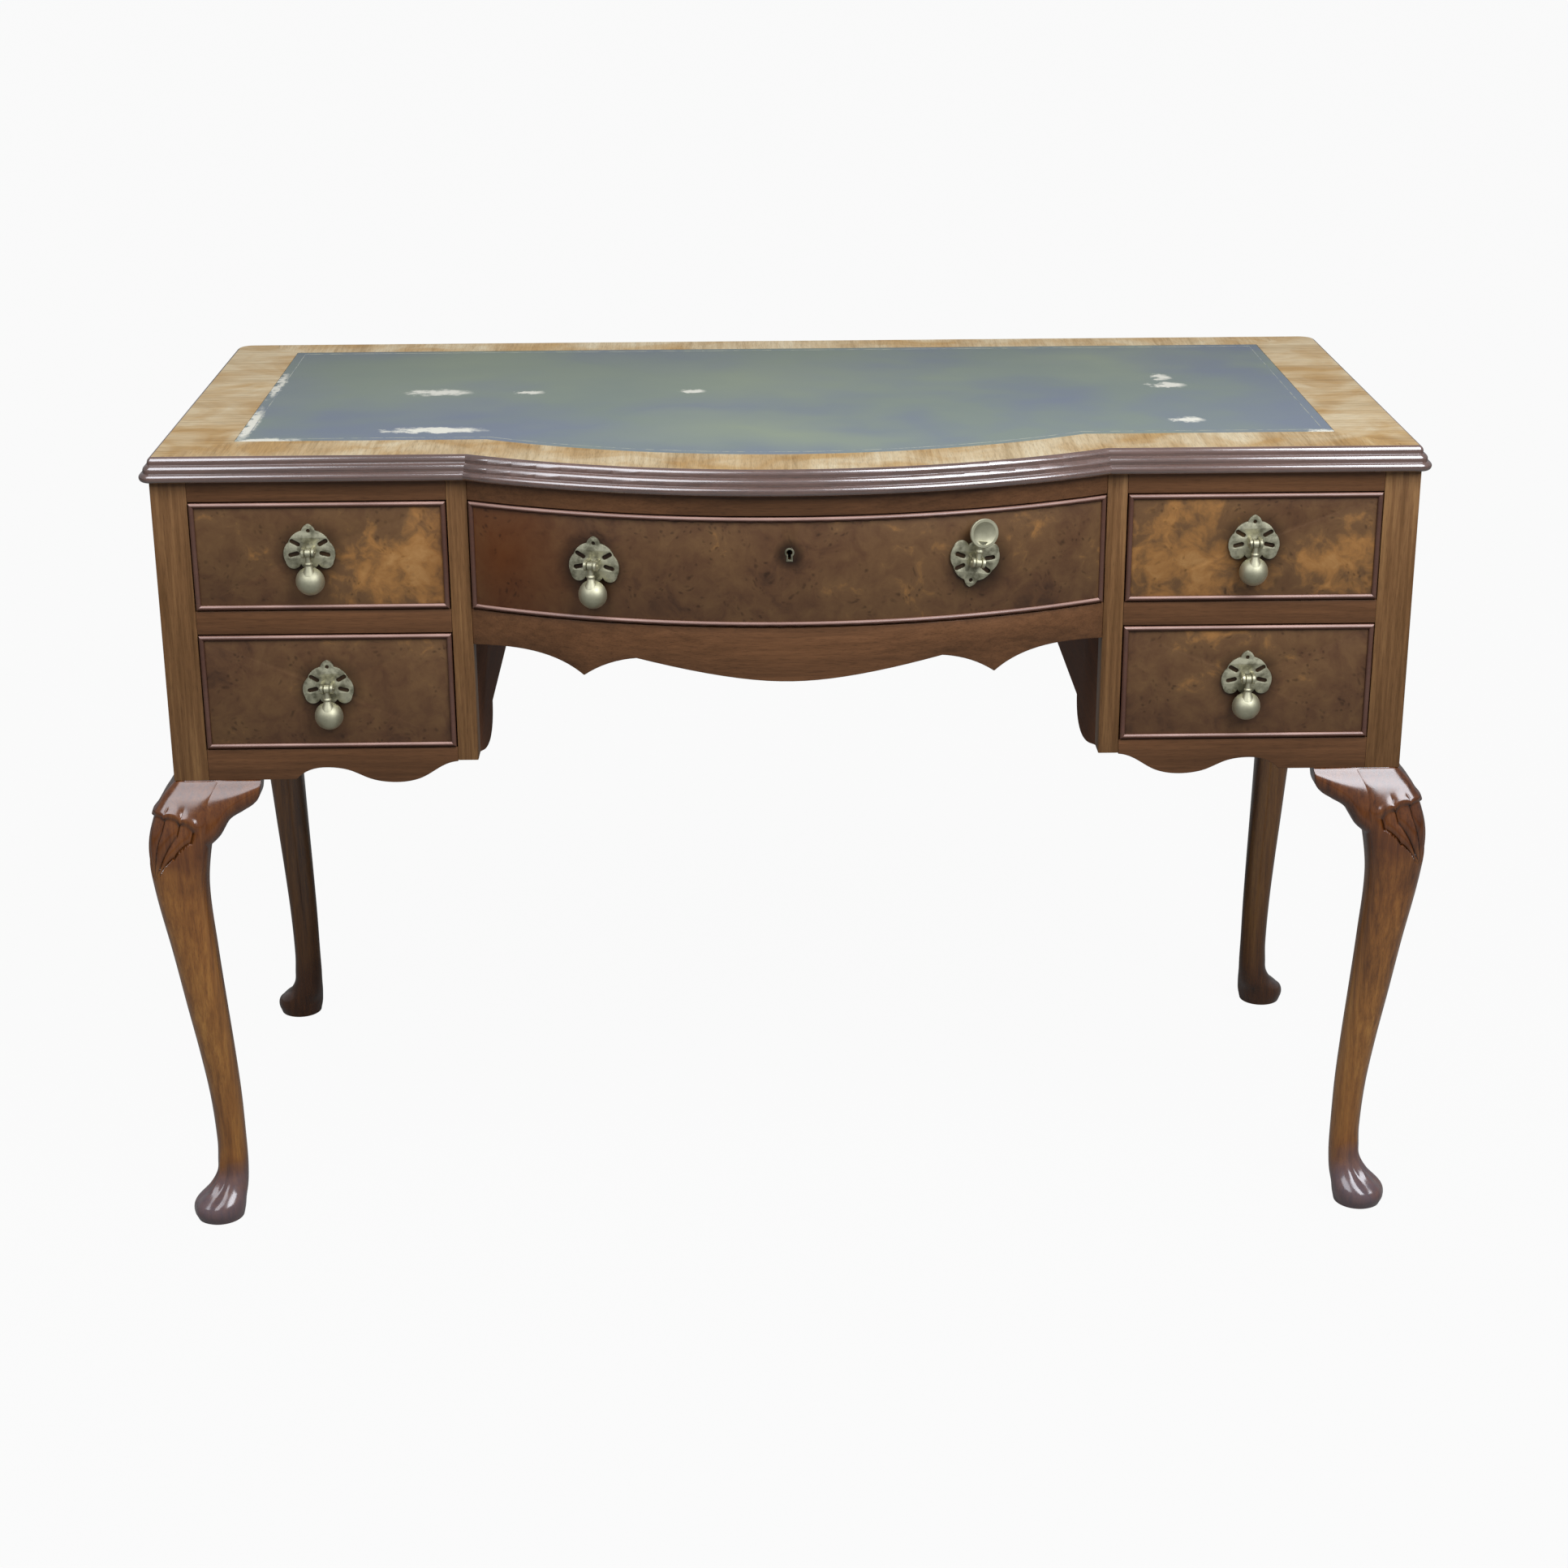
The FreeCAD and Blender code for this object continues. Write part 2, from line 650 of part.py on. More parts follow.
def handle_plate(front_depth):
    """Pierced plate with a forked boss and its pin, on a post through the drawer front."""
    plate = solid_between(plate_outline(), Vector(0, -plate_thickness, 0))
    slot_end = plate_half_width - plate_border
    slots = []
    for angle in (30, -14):
        slots.append(piercing(angle, slot_start, slot_end, slot_width))
        slots.append(piercing(180 - angle, slot_start, slot_end, slot_width))
    hole_z = plate_peak - 1.6 * plate_border
    slots.append(Part.makeCylinder(peak_hole_radius, far, Vector(0, -far / 2, hole_z), along_y))
    plate = plate.cut(Part.makeCompound(slots))
    cheeks = []
    for side in (-1, 1):
        inner = side * (eye_width / 2 + cheek_gap)
        start = min(inner, inner + side * cheek_width)
        round_end = Part.makeCylinder(cheek_radius, cheek_width, Vector(start, -pivot_out, 0), along_x)
        stem = box(start, start + cheek_width, -pivot_out, 0, -cheek_radius, cheek_radius)
        cheeks.append(round_end.fuse(stem))
    reach = eye_width / 2 + cheek_gap + cheek_width
    pin = Part.makeCylinder(pin_radius, 2 * reach, Vector(-reach, -pivot_out, 0), along_x)
    post = Part.makeCylinder(post_radius, front_depth + nut_thickness + 2, Vector(0, 0, 0), along_y)
    return plate.multiFuse(cheeks + [pin, post]).removeSplitter()


def handle_nut(front_depth):
    half = nut_size / 2
    seat = front_depth + nut_clearance
    nut = box(-half, half, seat, seat + nut_thickness, -half, half)
    hole = Part.makeCylinder(post_radius + post_clearance, far, Vector(0, 0, 0), along_y)
    return nut.cut(hole)


def drop_handle():
    """Half-round drop with a dished flat back, hanging from its eye."""
    eye = Part.makeCylinder(eye_radius, eye_width, Vector(-eye_width / 2, -pivot_out, 0), along_x)
    neck_top = pin_radius + pin_clearance
    neck_r = eye_width / 2
    flare_z = -drop_length + drop_radius * 0.55
    flare_r = drop_radius * 0.5
    waist_z = -eye_radius - neck_clearance
    top = [Vector(0, -pivot_out, -neck_top), Vector(neck_r, -pivot_out, -neck_top)]
    waist = Vector(neck_r, -pivot_out, waist_z)
    throat = Vector(mix(neck_r, flare_r, 0.3), -pivot_out, mix(waist_z, flare_z, 0.55))
    hem = [Vector(flare_r, -pivot_out, flare_z), Vector(0, -pivot_out, flare_z)]
    edges = [line(top[0], top[1]), line(top[1], waist), curve([waist, throat, hem[0]])]
    edges += [line(hem[0], hem[1]), line(hem[1], top[0])]
    neck = Part.Face(Part.Wire(edges)).revolve(Vector(0, -pivot_out, 0), along_z, 360)
    back = -pivot_out + drop_back_out
    ball = Part.makeSphere(drop_radius, Vector(0, back, -drop_length))
    ball = ball.fuse(neck)
    ball = ball.cut(box(-far, far, back, far, -far, far))
    dish = Part.makeCylinder(drop_radius - drop_rim, drop_dish_depth, Vector(0, back, -drop_length), -along_y)
    bore = Part.makeCylinder(pin_radius + pin_clearance, far, Vector(-far / 2, -pivot_out, 0), along_x)
    return eye.fuse(ball).cut(dish).cut(bore)


def leaned_drop():
    """The drop swung up past upright, to lean on the drawer."""
    drop = drop_handle()
    drop.rotate(Vector(0, -pivot_out, 0), along_x, -180 - turned_drop_lean)
    return drop


def placed(shape, x, y, z, turn, bow_turn):
    """Handle piece set on the drawer: turned in its own face, then with the bow."""
    in_face = Placement(Vector(0, 0, 0), Rotation(along_y, turn))
    on_front = Placement(Vector(x, y, z), Rotation(along_z, bow_turn))
    moved = shape.copy()
    moved.Placement = on_front.multiply(in_face).multiply(moved.Placement)
    return moved


def post_hole(x, y, z, bow_turn):
    hole = Part.makeCylinder(post_radius + post_clearance, far, Vector(0, -far / 2, 0), along_y)
    return placed(hole, x, y, z, 0, bow_turn)


# Drawers

def bead_profile(z0, z1):
    """Cock bead section with a rounded nose, from the back of the front board."""
    middle = (z0 + z1) / 2
    radius = (z1 - z0) / 2

    def profile(depth):
        def section(at):
            low = at(bead_proud - radius, z0)
            high = at(bead_proud - radius, z1)
            edges = [line(at(-depth, z0), low), arc(low, at(bead_proud, middle), high)]
            edges += [line(high, at(-depth, z1)), line(at(-depth, z1), at(-depth, z0))]
            return Part.Wire(edges)
        return section

    return profile


def upright_bead(x0, x1, y, depth, z0, z1):
    """Bead along one end of a drawer front."""
    lying = section_at(bead_profile(x0, x1)(depth), 0, y).extrude(Vector(z1 - z0, 0, 0))
    lying.rotate(Vector(0, y, 0), along_y, -90)
    lying = lying.mirror(Vector(0, 0, 0), along_x)
    lying.translate(Vector(0, 0, z0))
    return lying


def mitre_cut(x, z, direction):
    """Half space past the mitre at one corner of a bead frame."""
    block = box(0, far, -far, far, -far, far)
    block.Placement = Placement(Vector(x, 0, z), Rotation(along_y, -direction))
    return block


def bead_frame(x0, x1, end_y, z0, z1, depth, level_beads):
    """Four mitred strips round a drawer front; level_beads makes the bottom and top ones."""
    end_depth = face_y + depth - end_y
    corner_low_left = (x0, z0)
    corner_high_left = (x0, z1)
    corner_low_right = (x1, z0)
    corner_high_right = (x1, z1)
    bottom = level_beads(z0, z0 + bead_width)
    bottom = bottom.cut(mitre_cut(*corner_low_left, 135)).cut(mitre_cut(*corner_low_right, 45))
    top = level_beads(z1 - bead_width, z1)
    top = top.cut(mitre_cut(*corner_high_left, 225)).cut(mitre_cut(*corner_high_right, -45))
    left = upright_bead(x0, x0 + bead_width, end_y, end_depth, z0, z1)
    left = left.cut(mitre_cut(*corner_low_left, -45)).cut(mitre_cut(*corner_high_left, 45))
    right = upright_bead(x1 - bead_width, x1, end_y, end_depth, z0, z1)
    right = right.cut(mitre_cut(*corner_low_right, 225)).cut(mitre_cut(*corner_high_right, 135))
    return [bottom, top, left, right]


def lining(x0, x1, y0, y1, z0, z1, bottom):
    """Drawer sides and back round a bottom board."""
    low = z0 - drawer_gap + slide_clearance
    high = z1 - drawer_side_drop
    left = box(x0, x0 + lining_thickness, y0, y1, low, high)
    right = box(x1 - lining_thickness, x1, y0, y1, low, high)
    floor_z = low + drawer_bottom_rise + drawer_bottom_thickness
    back = box(x0 + lining_thickness, x1 - lining_thickness, y1 - lining_thickness, y1, floor_z, high)
    return [left, right, back, bottom]


def build_side_drawer(name, side, z_open, height):
    x0 = side_x + drawer_gap
    x1 = post_x - drawer_gap
    if side < 0:
        x0, x1 = -x1, -x0
    z0 = z_open + drawer_gap
    z1 = z_open + height - drawer_gap
    handle_x = (x0 + x1) / 2
    if name == "left_upper":
        handle_x -= left_upper_handle_shift
    handle_z = (z0 + z1) / 2 + handle_rise
    inner_y = face_y + front_thickness
    board = box(x0 + bead_width, x1 - bead_width, face_y, inner_y, z0 + bead_width, z1 - bead_width)
    save(name + "_drawer_front", board.cut(post_hole(handle_x, face_y, handle_z, 0)))

    def level_bead(low, high):
        section = section_at(bead_profile(low, high)(front_thickness), x0, face_y)
        return section.extrude(Vector(x1 - x0, 0, 0))

    save(name + "_cock_beads", *bead_frame(x0, x1, face_y, z0, z1, front_thickness, level_bead))
    floor_z = z_open + slide_clearance + drawer_bottom_rise
    back_end = face_y + drawer_length
    floor = box(x0 + lining_thickness, x1 - lining_thickness, inner_y, back_end, floor_z,
                floor_z + drawer_bottom_thickness)
    save(name + "_drawer_lining", *lining(x0, x1, inner_y, back_end, z0, z1, floor))
    where = (handle_x, face_y, handle_z, 0, 0)
    plate = placed(handle_plate(front_thickness), *where)
    nut = placed(handle_nut(front_thickness), *where)
    save(name + "_handle_plate", plate, nut)
    save(name + "_drop", placed(drop_handle(), *where))


def keyhole(grow, y0, y1):
    """Round head over a straight slot, made larger all round by grow."""
    z = keyhole_z
    head = Part.makeCylinder(keyhole_radius + grow, y1 - y0, Vector(0, y0, z), along_y)
    half = keyhole_slot / 2 + grow
    slot = box(-half, half, y0, y1, z - keyhole_drop - grow, z)
    return head.fuse(slot)


lock_front_y = bow_centre_y - math.sqrt((bow_radius - bow_front_thickness) ** 2 - (lock_width / 2) ** 2)
lock_top = rail_z - drawer_gap
keyhole_z = (upper_z + rail_z) / 2 + keyhole_rise


def bolt_block(grow, z0, z1):
    half = bolt_width / 2 + grow
    y0 = lock_front_y + (lock_thickness - bolt_thickness) / 2 - grow
    return box(-half, half, y0, y0 + bolt_thickness + 2 * grow, z0, z1)


def bolt_mortise():
    return bolt_block(bolt_clearance, rail_z - 1, rail_z + bolt_travel + bolt_clearance)


def build_lock():
    half = lock_width / 2
    case = box(-half, half, lock_front_y, lock_front_y + lock_thickness, lock_top - lock_height, lock_top)
    pocket_low = lock_top - bolt_height - lock_wall
    case = case.cut(bolt_block(bolt_clearance, pocket_low, lock_top + 1))
    case = case.cut(keyhole(0.5, lock_front_y - 1, lock_front_y + lock_thickness / 2))
    save("lock_case", case)
    save("lock_bolt", bolt_block(0, lock_top - bolt_height, lock_top))
    face = face_y - bow_rise
    liner = keyhole(liner_wall, face - liner_proud, face + liner_depth)
    save("keyhole_liner", liner.cut(keyhole(0, face - far, face + far)))


def build_centre_drawer():
    half = stile_x - drawer_gap
    z0 = upper_z + drawer_gap
    z1 = rail_z - drawer_gap
    handle_z = (z0 + z1) / 2 + centre_handle_rise
    thickness = bow_front_thickness
    board = bow_slab(0, -thickness, half - bead_width, z0 + bead_width, z1 - bead_width)
    spots = []
    for x in (-centre_left_handle_x, centre_right_handle_x):
        angle = math.asin(x / bow_radius)
        spot = on_bow(0, angle, handle_z)
        spots.append((spot.x, spot.y, spot.z, math.degrees(angle)))
        board = board.cut(post_hole(*spots[-1]))
    face = face_y - bow_rise
    board = board.cut(keyhole(0, face - 1, face + 2 * thickness))
    board = board.cut(keyhole(liner_wall + liner_clearance, face - 1, face + liner_depth + liner_clearance))
    save("centre_drawer_front", board)

    def level_bead(low, high):
        run = bow_run(bead_profile(low, high)(thickness), 1.1 * bow_sweep)
        return run.common(box(-half, half, -far, inner_y, low, high))

    inner_y = face_y + thickness
    end_y = on_bow(0, math.asin((half - bead_width / 2) / bow_radius), 0).y
    save("centre_cock_beads", *bead_frame(-half, half, end_y, z0, z1, thickness, level_bead))
    back_end = face_y + drawer_length
    floor_z = upper_z + slide_clearance + drawer_bottom_rise
    floor = behind_bow(-thickness - floor_clearance, half - lining_thickness, back_end, floor_z,
                       floor_z + drawer_bottom_thickness)
    save("centre_drawer_lining", *lining(-half, half, inner_y, back_end, z0, z1, floor))
    left = (*spots[0][:3], 0, spots[0][3])
    right = (*spots[1][:3], turned_handle_angle, spots[1][3])
    plates = []
    for where in (left, right):
        plates.append(placed(handle_plate(thickness), *where))
        plates.append(placed(handle_nut(thickness), *where))
    save("centre_handle_plates", *plates)
    save("centre_left_drop", placed(drop_handle(), *left))
    save("centre_right_drop", placed(leaned_drop(), *spots[1][:3], turned_handle_angle - 180, spots[1][3]))


def main():
    os.makedirs("parts", exist_ok=True)
    build_top()
    build_posts()
    build_case()
    build_drawer_supports()
    build_legs()
    for side, word in ((-1, "left"), (1, "right")):
        build_side_drawer(word + "_upper", side, upper_z, upper_drawer_height)
        build_side_drawer(word + "_lower", side, lower_z, lower_drawer_height)
    build_centre_drawer()
    build_lock()


main()
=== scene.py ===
import json
import math

import bmesh
import bpy
from mathutils import Matrix, Vector


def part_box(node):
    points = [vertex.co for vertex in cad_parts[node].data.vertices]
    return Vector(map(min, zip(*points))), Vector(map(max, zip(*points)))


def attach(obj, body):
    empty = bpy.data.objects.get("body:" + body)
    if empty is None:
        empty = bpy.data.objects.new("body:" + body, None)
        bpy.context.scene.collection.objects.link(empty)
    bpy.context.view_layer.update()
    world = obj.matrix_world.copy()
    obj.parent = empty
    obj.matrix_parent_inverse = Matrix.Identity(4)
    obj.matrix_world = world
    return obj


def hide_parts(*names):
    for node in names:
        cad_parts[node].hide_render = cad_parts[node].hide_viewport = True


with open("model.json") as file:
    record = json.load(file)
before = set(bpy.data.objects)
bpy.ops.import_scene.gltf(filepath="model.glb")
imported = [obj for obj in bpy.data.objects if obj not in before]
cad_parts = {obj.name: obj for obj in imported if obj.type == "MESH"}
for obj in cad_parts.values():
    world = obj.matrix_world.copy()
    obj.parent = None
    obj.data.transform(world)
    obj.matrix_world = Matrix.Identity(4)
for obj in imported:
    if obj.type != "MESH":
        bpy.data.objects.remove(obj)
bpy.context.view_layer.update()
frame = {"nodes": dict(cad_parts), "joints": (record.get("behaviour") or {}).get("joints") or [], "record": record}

bl_info = {
    "name": "Bow-front writing table",
    "version": (1, 0, 0),
    "blender": (4, 5, 0),
    "location": "3D View > Sidebar > Writing table",
    "description": "Dresses the packed writing table in polished walnut, aged brass and worn leather",
    "category": "Object",
}

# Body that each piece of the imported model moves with
bodies = frame["record"]["behaviour"]["bodies"]
body_of_node = {node: body for body, nodes in bodies.items() for node in nodes}

# Planes and levels of the table, in metres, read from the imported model
face_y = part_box("left_upper_drawer_front")[0].y
back_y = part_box("rear_left_post")[1].y
case_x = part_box("front_right_post")[1].x
case_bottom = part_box("front_left_post")[0].z
leather_low, leather_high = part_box("leather_inset")

# Shapes that the scene follows from the construction, in metres
leg_block = 0.045
bracket_back = 0.020
stile_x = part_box("centre_apron")[1].x
bow_rise = face_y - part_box("centre_apron")[0].y
bow_radius = (stile_x ** 2 + bow_rise ** 2) / (2 * bow_rise)
bow_centre_y = face_y - bow_rise + bow_radius
leather_margin = leather_low.y - face_y + bow_rise
pivot_out = 0.011
plate_thickness = 0.0022
side_front_depth = 0.018
centre_front_depth = 0.020

side_drawers = ("left_upper", "left_lower", "right_upper", "right_lower")


def linear(code):
    """Hex sRGB colour as linear RGBA."""
    values = [int(code[start:start + 2], 16) / 255 for start in (1, 3, 5)]
    return tuple(v / 12.92 if v <= 0.04045 else ((v + 0.055) / 1.055) ** 2.4 for v in values) + (1.0,)


def colour(name, description, code):
    """Colour property with a hex default."""
    return bpy.props.FloatVectorProperty(
        name=name, description=description, subtype="COLOR", size=4, min=0, max=1, default=linear(code))


def number(name, description, default, **settings):
    """Number property, with its unit and limits where they fit."""
    return bpy.props.FloatProperty(name=name, description=description, default=default, **settings)


def length(name, description, default):
    """Length property in metres."""
    return number(name, description, default, unit="LENGTH", precision=5)


class TableSizes(bpy.types.PropertyGroup):
    """Sizes of what the scene adds to the construction."""

    arris: length("Arris", "Softening of the boards' edges", 0.0009)
    member: length("Moulding members", "Rounding of the edge moulding's members", 0.0018)
    lip_height: length("Lip height", "How far the carved lip stands out over the fan", 0.0024)
    reed_depth: length("Reed depth", "Depth of the cuts between the reeds of the fan", 0.0030)
    scallop: length("Scallop", "Rise of the lip over each reed", 0.0030)
    fan_length: length("Fan length", "Length of the carved fan on the knee", 0.066)
    instep_ridge: length("Instep ridge", "Height of the ridge on the pad foot", 0.0020)
    line_inset: length("Tooled line inset", "Distance of the tooled line from the leather's edge", 0.0090)
    line_radius: length("Tooled line radius", "Radius of the round tool that made the line", 0.0010)
    line_sink: length("Tooled line sink", "How deep the line's centre lies in the leather", 0.0008)
    plate_bevel: length("Plate bevel", "Filed edge of the pierced plates", 0.0005)
    reed_count: bpy.props.IntProperty(
        name="Reeds", description="Carved reeds on each front knee", default=5, min=1, max=9)


class TableFinishes(bpy.types.PropertyGroup):
    """Colours of the finishes."""

    case_dark: colour("Walnut dark", "Dark grain of the posts", "#51361b")
    case_mid: colour("Walnut middle", "Body colour of the posts", "#765332")
    case_light: colour("Walnut light", "Pale grain of the posts", "#9e774a")
    rail_tone: colour("Rail tone", "Redder brown of the rails and aprons", "#66442a")
    # Darker than the case walnut: painted shade in the kneehole, over a dull wax
    kneehole_shaded_tone: colour("Kneehole shaded tone", "Dull wax and painted shade on the kneehole sides", "#6e452a")
    burr_deep: colour("Burr deep", "Darkest burr clusters", "#402c20")
    burr_dark: colour("Burr dark", "Dark ground of the burr veneer", "#5a3e29")
    burr_mid: colour("Burr middle", "Middle tone of the burr veneer", "#6a4d31")
    burr_gold: colour("Burr gold", "Golden patches of the burr veneer", "#986b3b")
    burr_bright: colour("Burr bright", "Brightest streaks in the golden patches", "#b08450")
    burr_red: colour("Burr red", "Redder end of the middle drawer", "#61310d")
    bead_tone: colour("Bead tone", "Reddish cock beads", "#472718")
    # Painted highlight on the beads' upper and front faces
    bead_highlight: colour("Bead highlight", "Painted highlight on the upper edges of the cock beads", "#b49082")
    border_dark: colour("Border dark", "Dark grain of the faded crossband", "#a78c60")
    border_mid: colour("Border middle", "Body colour of the faded crossband", "#cdb58c")
    border_light: colour("Border light", "Pale grain of the faded crossband", "#dfcfac")
    moulding_tone: colour("Moulding tone", "Red-brown edge moulding", "#644a40")
    leg_dark: colour("Leg dark", "Dark polish on knees and feet", "#5c3411")
    leg_mid: colour("Leg middle", "Body colour of the legs", "#9a642a")
    leg_gold: colour("Leg gold", "Worn golden middle of the legs", "#c68c42")
    foot_bloom: colour("Foot bloom", "Grey bloom of old polish on the feet", "#625c67")
    lining_tone: colour("Lining tone", "Plain wood inside the drawers", "#a07c4e")
    brass_light: colour("Brass light", "Rubbed high spots of the brass", "#d2ceb1")
    brass_dark: colour("Brass dark", "Brown-green patina of the brass", "#8b8770")
    leather_deep: colour("Leather deep", "Ground colour of the leather, lightened by painted sheen", "#7b847b")
    # Leather colours are lightened by painted sheen; the blue and olive parts are painted sheen and reflections
    leather_blue_sheen: colour("Leather blue sheen", "Blue-grey painted sheen on the leather", "#737a83")
    leather_olive_reflection: colour("Leather olive reflection", "Olive painted reflection on the leather", "#878f7c")
    leather_worn: colour("Leather worn", "Pale scuffs on the leather", "#d8d4c4")
    gilt_line: colour("Tooled line", "Faded gilding of the tooled line", "#a9a995")


class StageSettings(bpy.types.PropertyGroup):
    """Floor, lamps and camera."""

    floor_tone: colour("Floor", "Plain floor", "#868683")
    floor_glow: number("Floor glow", "Share of white in the floor that the camera sees", 0.95, min=0, max=1)
    sky_tone: colour("Light colour", "Cool daylight white of the lamps and the soft light", "#f3f7ff")
    sky_strength: number("Soft light", "Even light from all round", 0.32, min=0)
    left_power: number("Left lamp", "Power of the wide lamp on the left, in watts", 52, min=0)
    right_power: number("Right lamp", "Power of the wide lamp on the right, in watts", 102, min=0)
    lens: number("Lens", "Focal length in millimetres on a 36 mm square frame", 63.81)
    camera_place: bpy.props.FloatVectorProperty(
        name="Camera", description="Camera position", subtype="TRANSLATION",
        default=(-0.0471, -2.6285, 1.3366))
    camera_yaw: number("Yaw", "Turn of the camera to the left", -0.0176, unit="ROTATION")
    camera_pitch: number("Pitch", "Tilt of the camera downwards", 0.354, unit="ROTATION")
    camera_roll: number("Roll", "Lean of the camera", 0.0052, unit="ROTATION")


# Materials

# Settings of a mix of colours: one laid over another, and one darkening another
laid_over = {"data_type": "RGBA"}
darkening = {"data_type": "RGBA", "blend_type": "MULTIPLY"}


def add(tree, kind, inputs=None, stops=None, **settings):
    """Adds a node and sets it up; an input takes a value, a socket, or a node for its first live output."""
    node = tree.nodes.new(kind)
    for name, value in settings.items():
        setattr(node, name, value)
    if stops:
        elements = node.color_ramp.elements
        for element, (position, tone) in zip(elements, (stops[0], stops[-1])):
            element.position = position
            element.color = tone
        for position, tone in stops[1:-1]:
            elements.new(position).color = tone
    for key, value in (inputs or {}).items():
        if isinstance(value, bpy.types.Node):
            value = next(socket for socket in value.outputs if socket.enabled)
        if isinstance(value, bpy.types.NodeSocket):
            tree.links.new(value, node.inputs[key])
        else:
            node.inputs[key].default_value = value
    return node


def grey(value):
    """Neutral colour of one level."""
    return (value, value, value, 1.0)


def shades(base, dark, light):
    """Darker, plain and lighter version of one colour."""
    base = tuple(base)[:3]
    return [tuple(min(1.0, value * share) for value in base) + (1.0,) for share in (dark, 1.0, light)]


def emptied(owner):
    """Node tree of a material or a world, with its nodes removed."""
    owner.use_nodes = True
    owner.node_tree.nodes.clear()
    return owner.node_tree


def patterned(name):
    """New material, its empty tree, and the piece's own coordinates for its patterns."""
    material = bpy.data.materials.new(name)
    tree = emptied(material)
    return material, tree, add(tree, "ShaderNodeTexCoord").outputs["Object"]


def surface(tree, inputs, height=None, strength=0.08, depth=0.0004):
    """Shader wired to the output, its surface raised by a pattern of the given depth in metres."""
    if height is not None:
        bump = {"Strength": strength, "Distance": depth, "Height": height}
        inputs["Normal"] = add(tree, "ShaderNodeBump", bump)
    shader = add(tree, "ShaderNodeBsdfPrincipled", inputs)
    add(tree, "ShaderNodeOutputMaterial", {"Surface": shader})


def facing(tree):
    """Directions X, Y and Z in which the surface looks."""
    shape = add(tree, "ShaderNodeNewGeometry")
    return add(tree, "ShaderNodeSeparateXYZ", {0: shape.outputs["Normal"]}).outputs


def pushed(tree, place, cloud, reach):
    """Coordinates pushed about by a cloud of directions, over a reach in metres."""
    push = add(tree, "ShaderNodeVectorMath", {0: cloud, "Scale": reach}, operation="SCALE")
    return add(tree, "ShaderNodeVectorMath", {0: place, 1: push}, operation="ADD")


def nearest_spot(tree, place, spots, axes):
    """Highest of several soft round spots, each given as its centre and half widths on two axes."""
    highest = None
    for first, second, half_first, half_second in spots:
        location = [0, 0, 0]
        scale = [0, 0, 0]
        for axis, centre, half in ((axes[0], first, half_first), (axes[1], second, half_second)):
            location["XYZ".index(axis)] = -centre / half
            scale["XYZ".index(axis)] = 1 / half
        near = add(tree, "ShaderNodeMapping", {"Vector": place, "Location": location, "Scale": scale})
        spot = add(tree, "ShaderNodeTexGradient", {0: near}, gradient_type="SPHERICAL").outputs["Fac"]
        if highest is None:
            highest = spot
        else:
            highest = add(tree, "ShaderNodeMath", {0: highest, 1: spot}, operation="MAXIMUM")
    return highest


def straight_grain(tree, place, grain, dark, mid, light, streak=0.004):
    """Colour and height of straight-grained walnut: broad bands, long streaks and open pores."""
    # Pores are about 0.2 mm wide; they are drawn three times as coarse so that they show
    layers = (
        (0.045, 0.5, {"Detail": 3.0, "Roughness": 0.5, "Distortion": 0.6}),
        (streak, streak * 28, {"Detail": 5.0, "Roughness": 0.62, "Distortion": 0.35}),
        (0.0007, 0.012, {"Detail": 2.0}),
    )
    patterns = []
    for across, along, character in layers:
        scale = [1 / across] * 3
        scale["XYZ".index(grain)] = 1 / along
        drawn_out = add(tree, "ShaderNodeMapping", {"Vector": place, "Scale": scale})
        patterns.append(add(tree, "ShaderNodeTexNoise", {"Vector": drawn_out, "Scale": 1.0, **character}))
    bands, streaks, pores = patterns
    mixed = add(tree, "ShaderNodeMix", {0: 0.55, 2: bands, 3: streaks}, data_type="FLOAT")
    tone = add(tree, "ShaderNodeValToRGB", {0: mixed}, stops=((0.30, dark), (0.49, mid), (0.70, light)))
    pitted = add(tree, "ShaderNodeValToRGB", {0: pores}, stops=((0.32, grey(0.55)), (0.5, grey(1.0))))
    return add(tree, "ShaderNodeMix", {0: 0.55, 6: tone, 7: pitted}, **darkening), streaks


def polished_walnut(name, grain, dark, mid, light, gloss=0.36, shine=0.3, coat=0.0, coat_ior=1.5):
    """French polished walnut: a soft shine over a warm, straight-grained brown."""
    material, tree, place = patterned(name)
    tone, height = straight_grain(tree, place, grain, dark, mid, light)
    sheen = add(tree, "ShaderNodeMapRange", {0: height, 3: gloss - 0.05, 4: gloss + 0.10})
    surface(tree, {"Base Color": tone, "Roughness": sheen, "IOR": 1.5, "Specular IOR Level": shine,
                   "Coat Weight": coat, "Coat Roughness": 0.18, "Coat IOR": coat_ior}, height)
    return material


def highlighted_bead(finishes):
    """Cock beads: dark red-brown, with a painted highlight that pales their upper and front faces in patches."""
    material, tree, place = patterned("cock_bead_painted_highlight")
    tone = straight_grain(tree, place, "X", *shades(finishes.bead_tone, 0.65, 1.35), 0.003)[0]
    toward = facing(tree)
    patchy = add(tree, "ShaderNodeTexNoise", {"Vector": place, "Scale": 1 / 0.06, "Detail": 2.0})
    share = add(tree, "ShaderNodeMapRange", {0: patchy, 1: 0.3, 2: 0.7, 3: 0.55, 4: 1.0})
    # Painted highlight: faces that look up and forward are paled, the share held in rubbed and worn
    upward = add(tree, "ShaderNodeMapRange", {0: toward["Z"], 1: -0.10, 2: 0.65})
    forward = add(tree, "ShaderNodeMapRange", {0: toward["Y"], 1: -0.02, 2: -0.25})
    rubbed = add(tree, "ShaderNodeMath", {0: upward, 1: forward}, operation="MULTIPLY")
    worn = add(tree, "ShaderNodeMath", {0: rubbed, 1: share}, operation="MULTIPLY")
    highlit = add(tree, "ShaderNodeMix", {0: worn, 6: tone, 7: finishes.bead_highlight}, **laid_over)
    surface(tree, {"Base Color": highlit, "Roughness": 0.34, "IOR": 1.5})
    return material


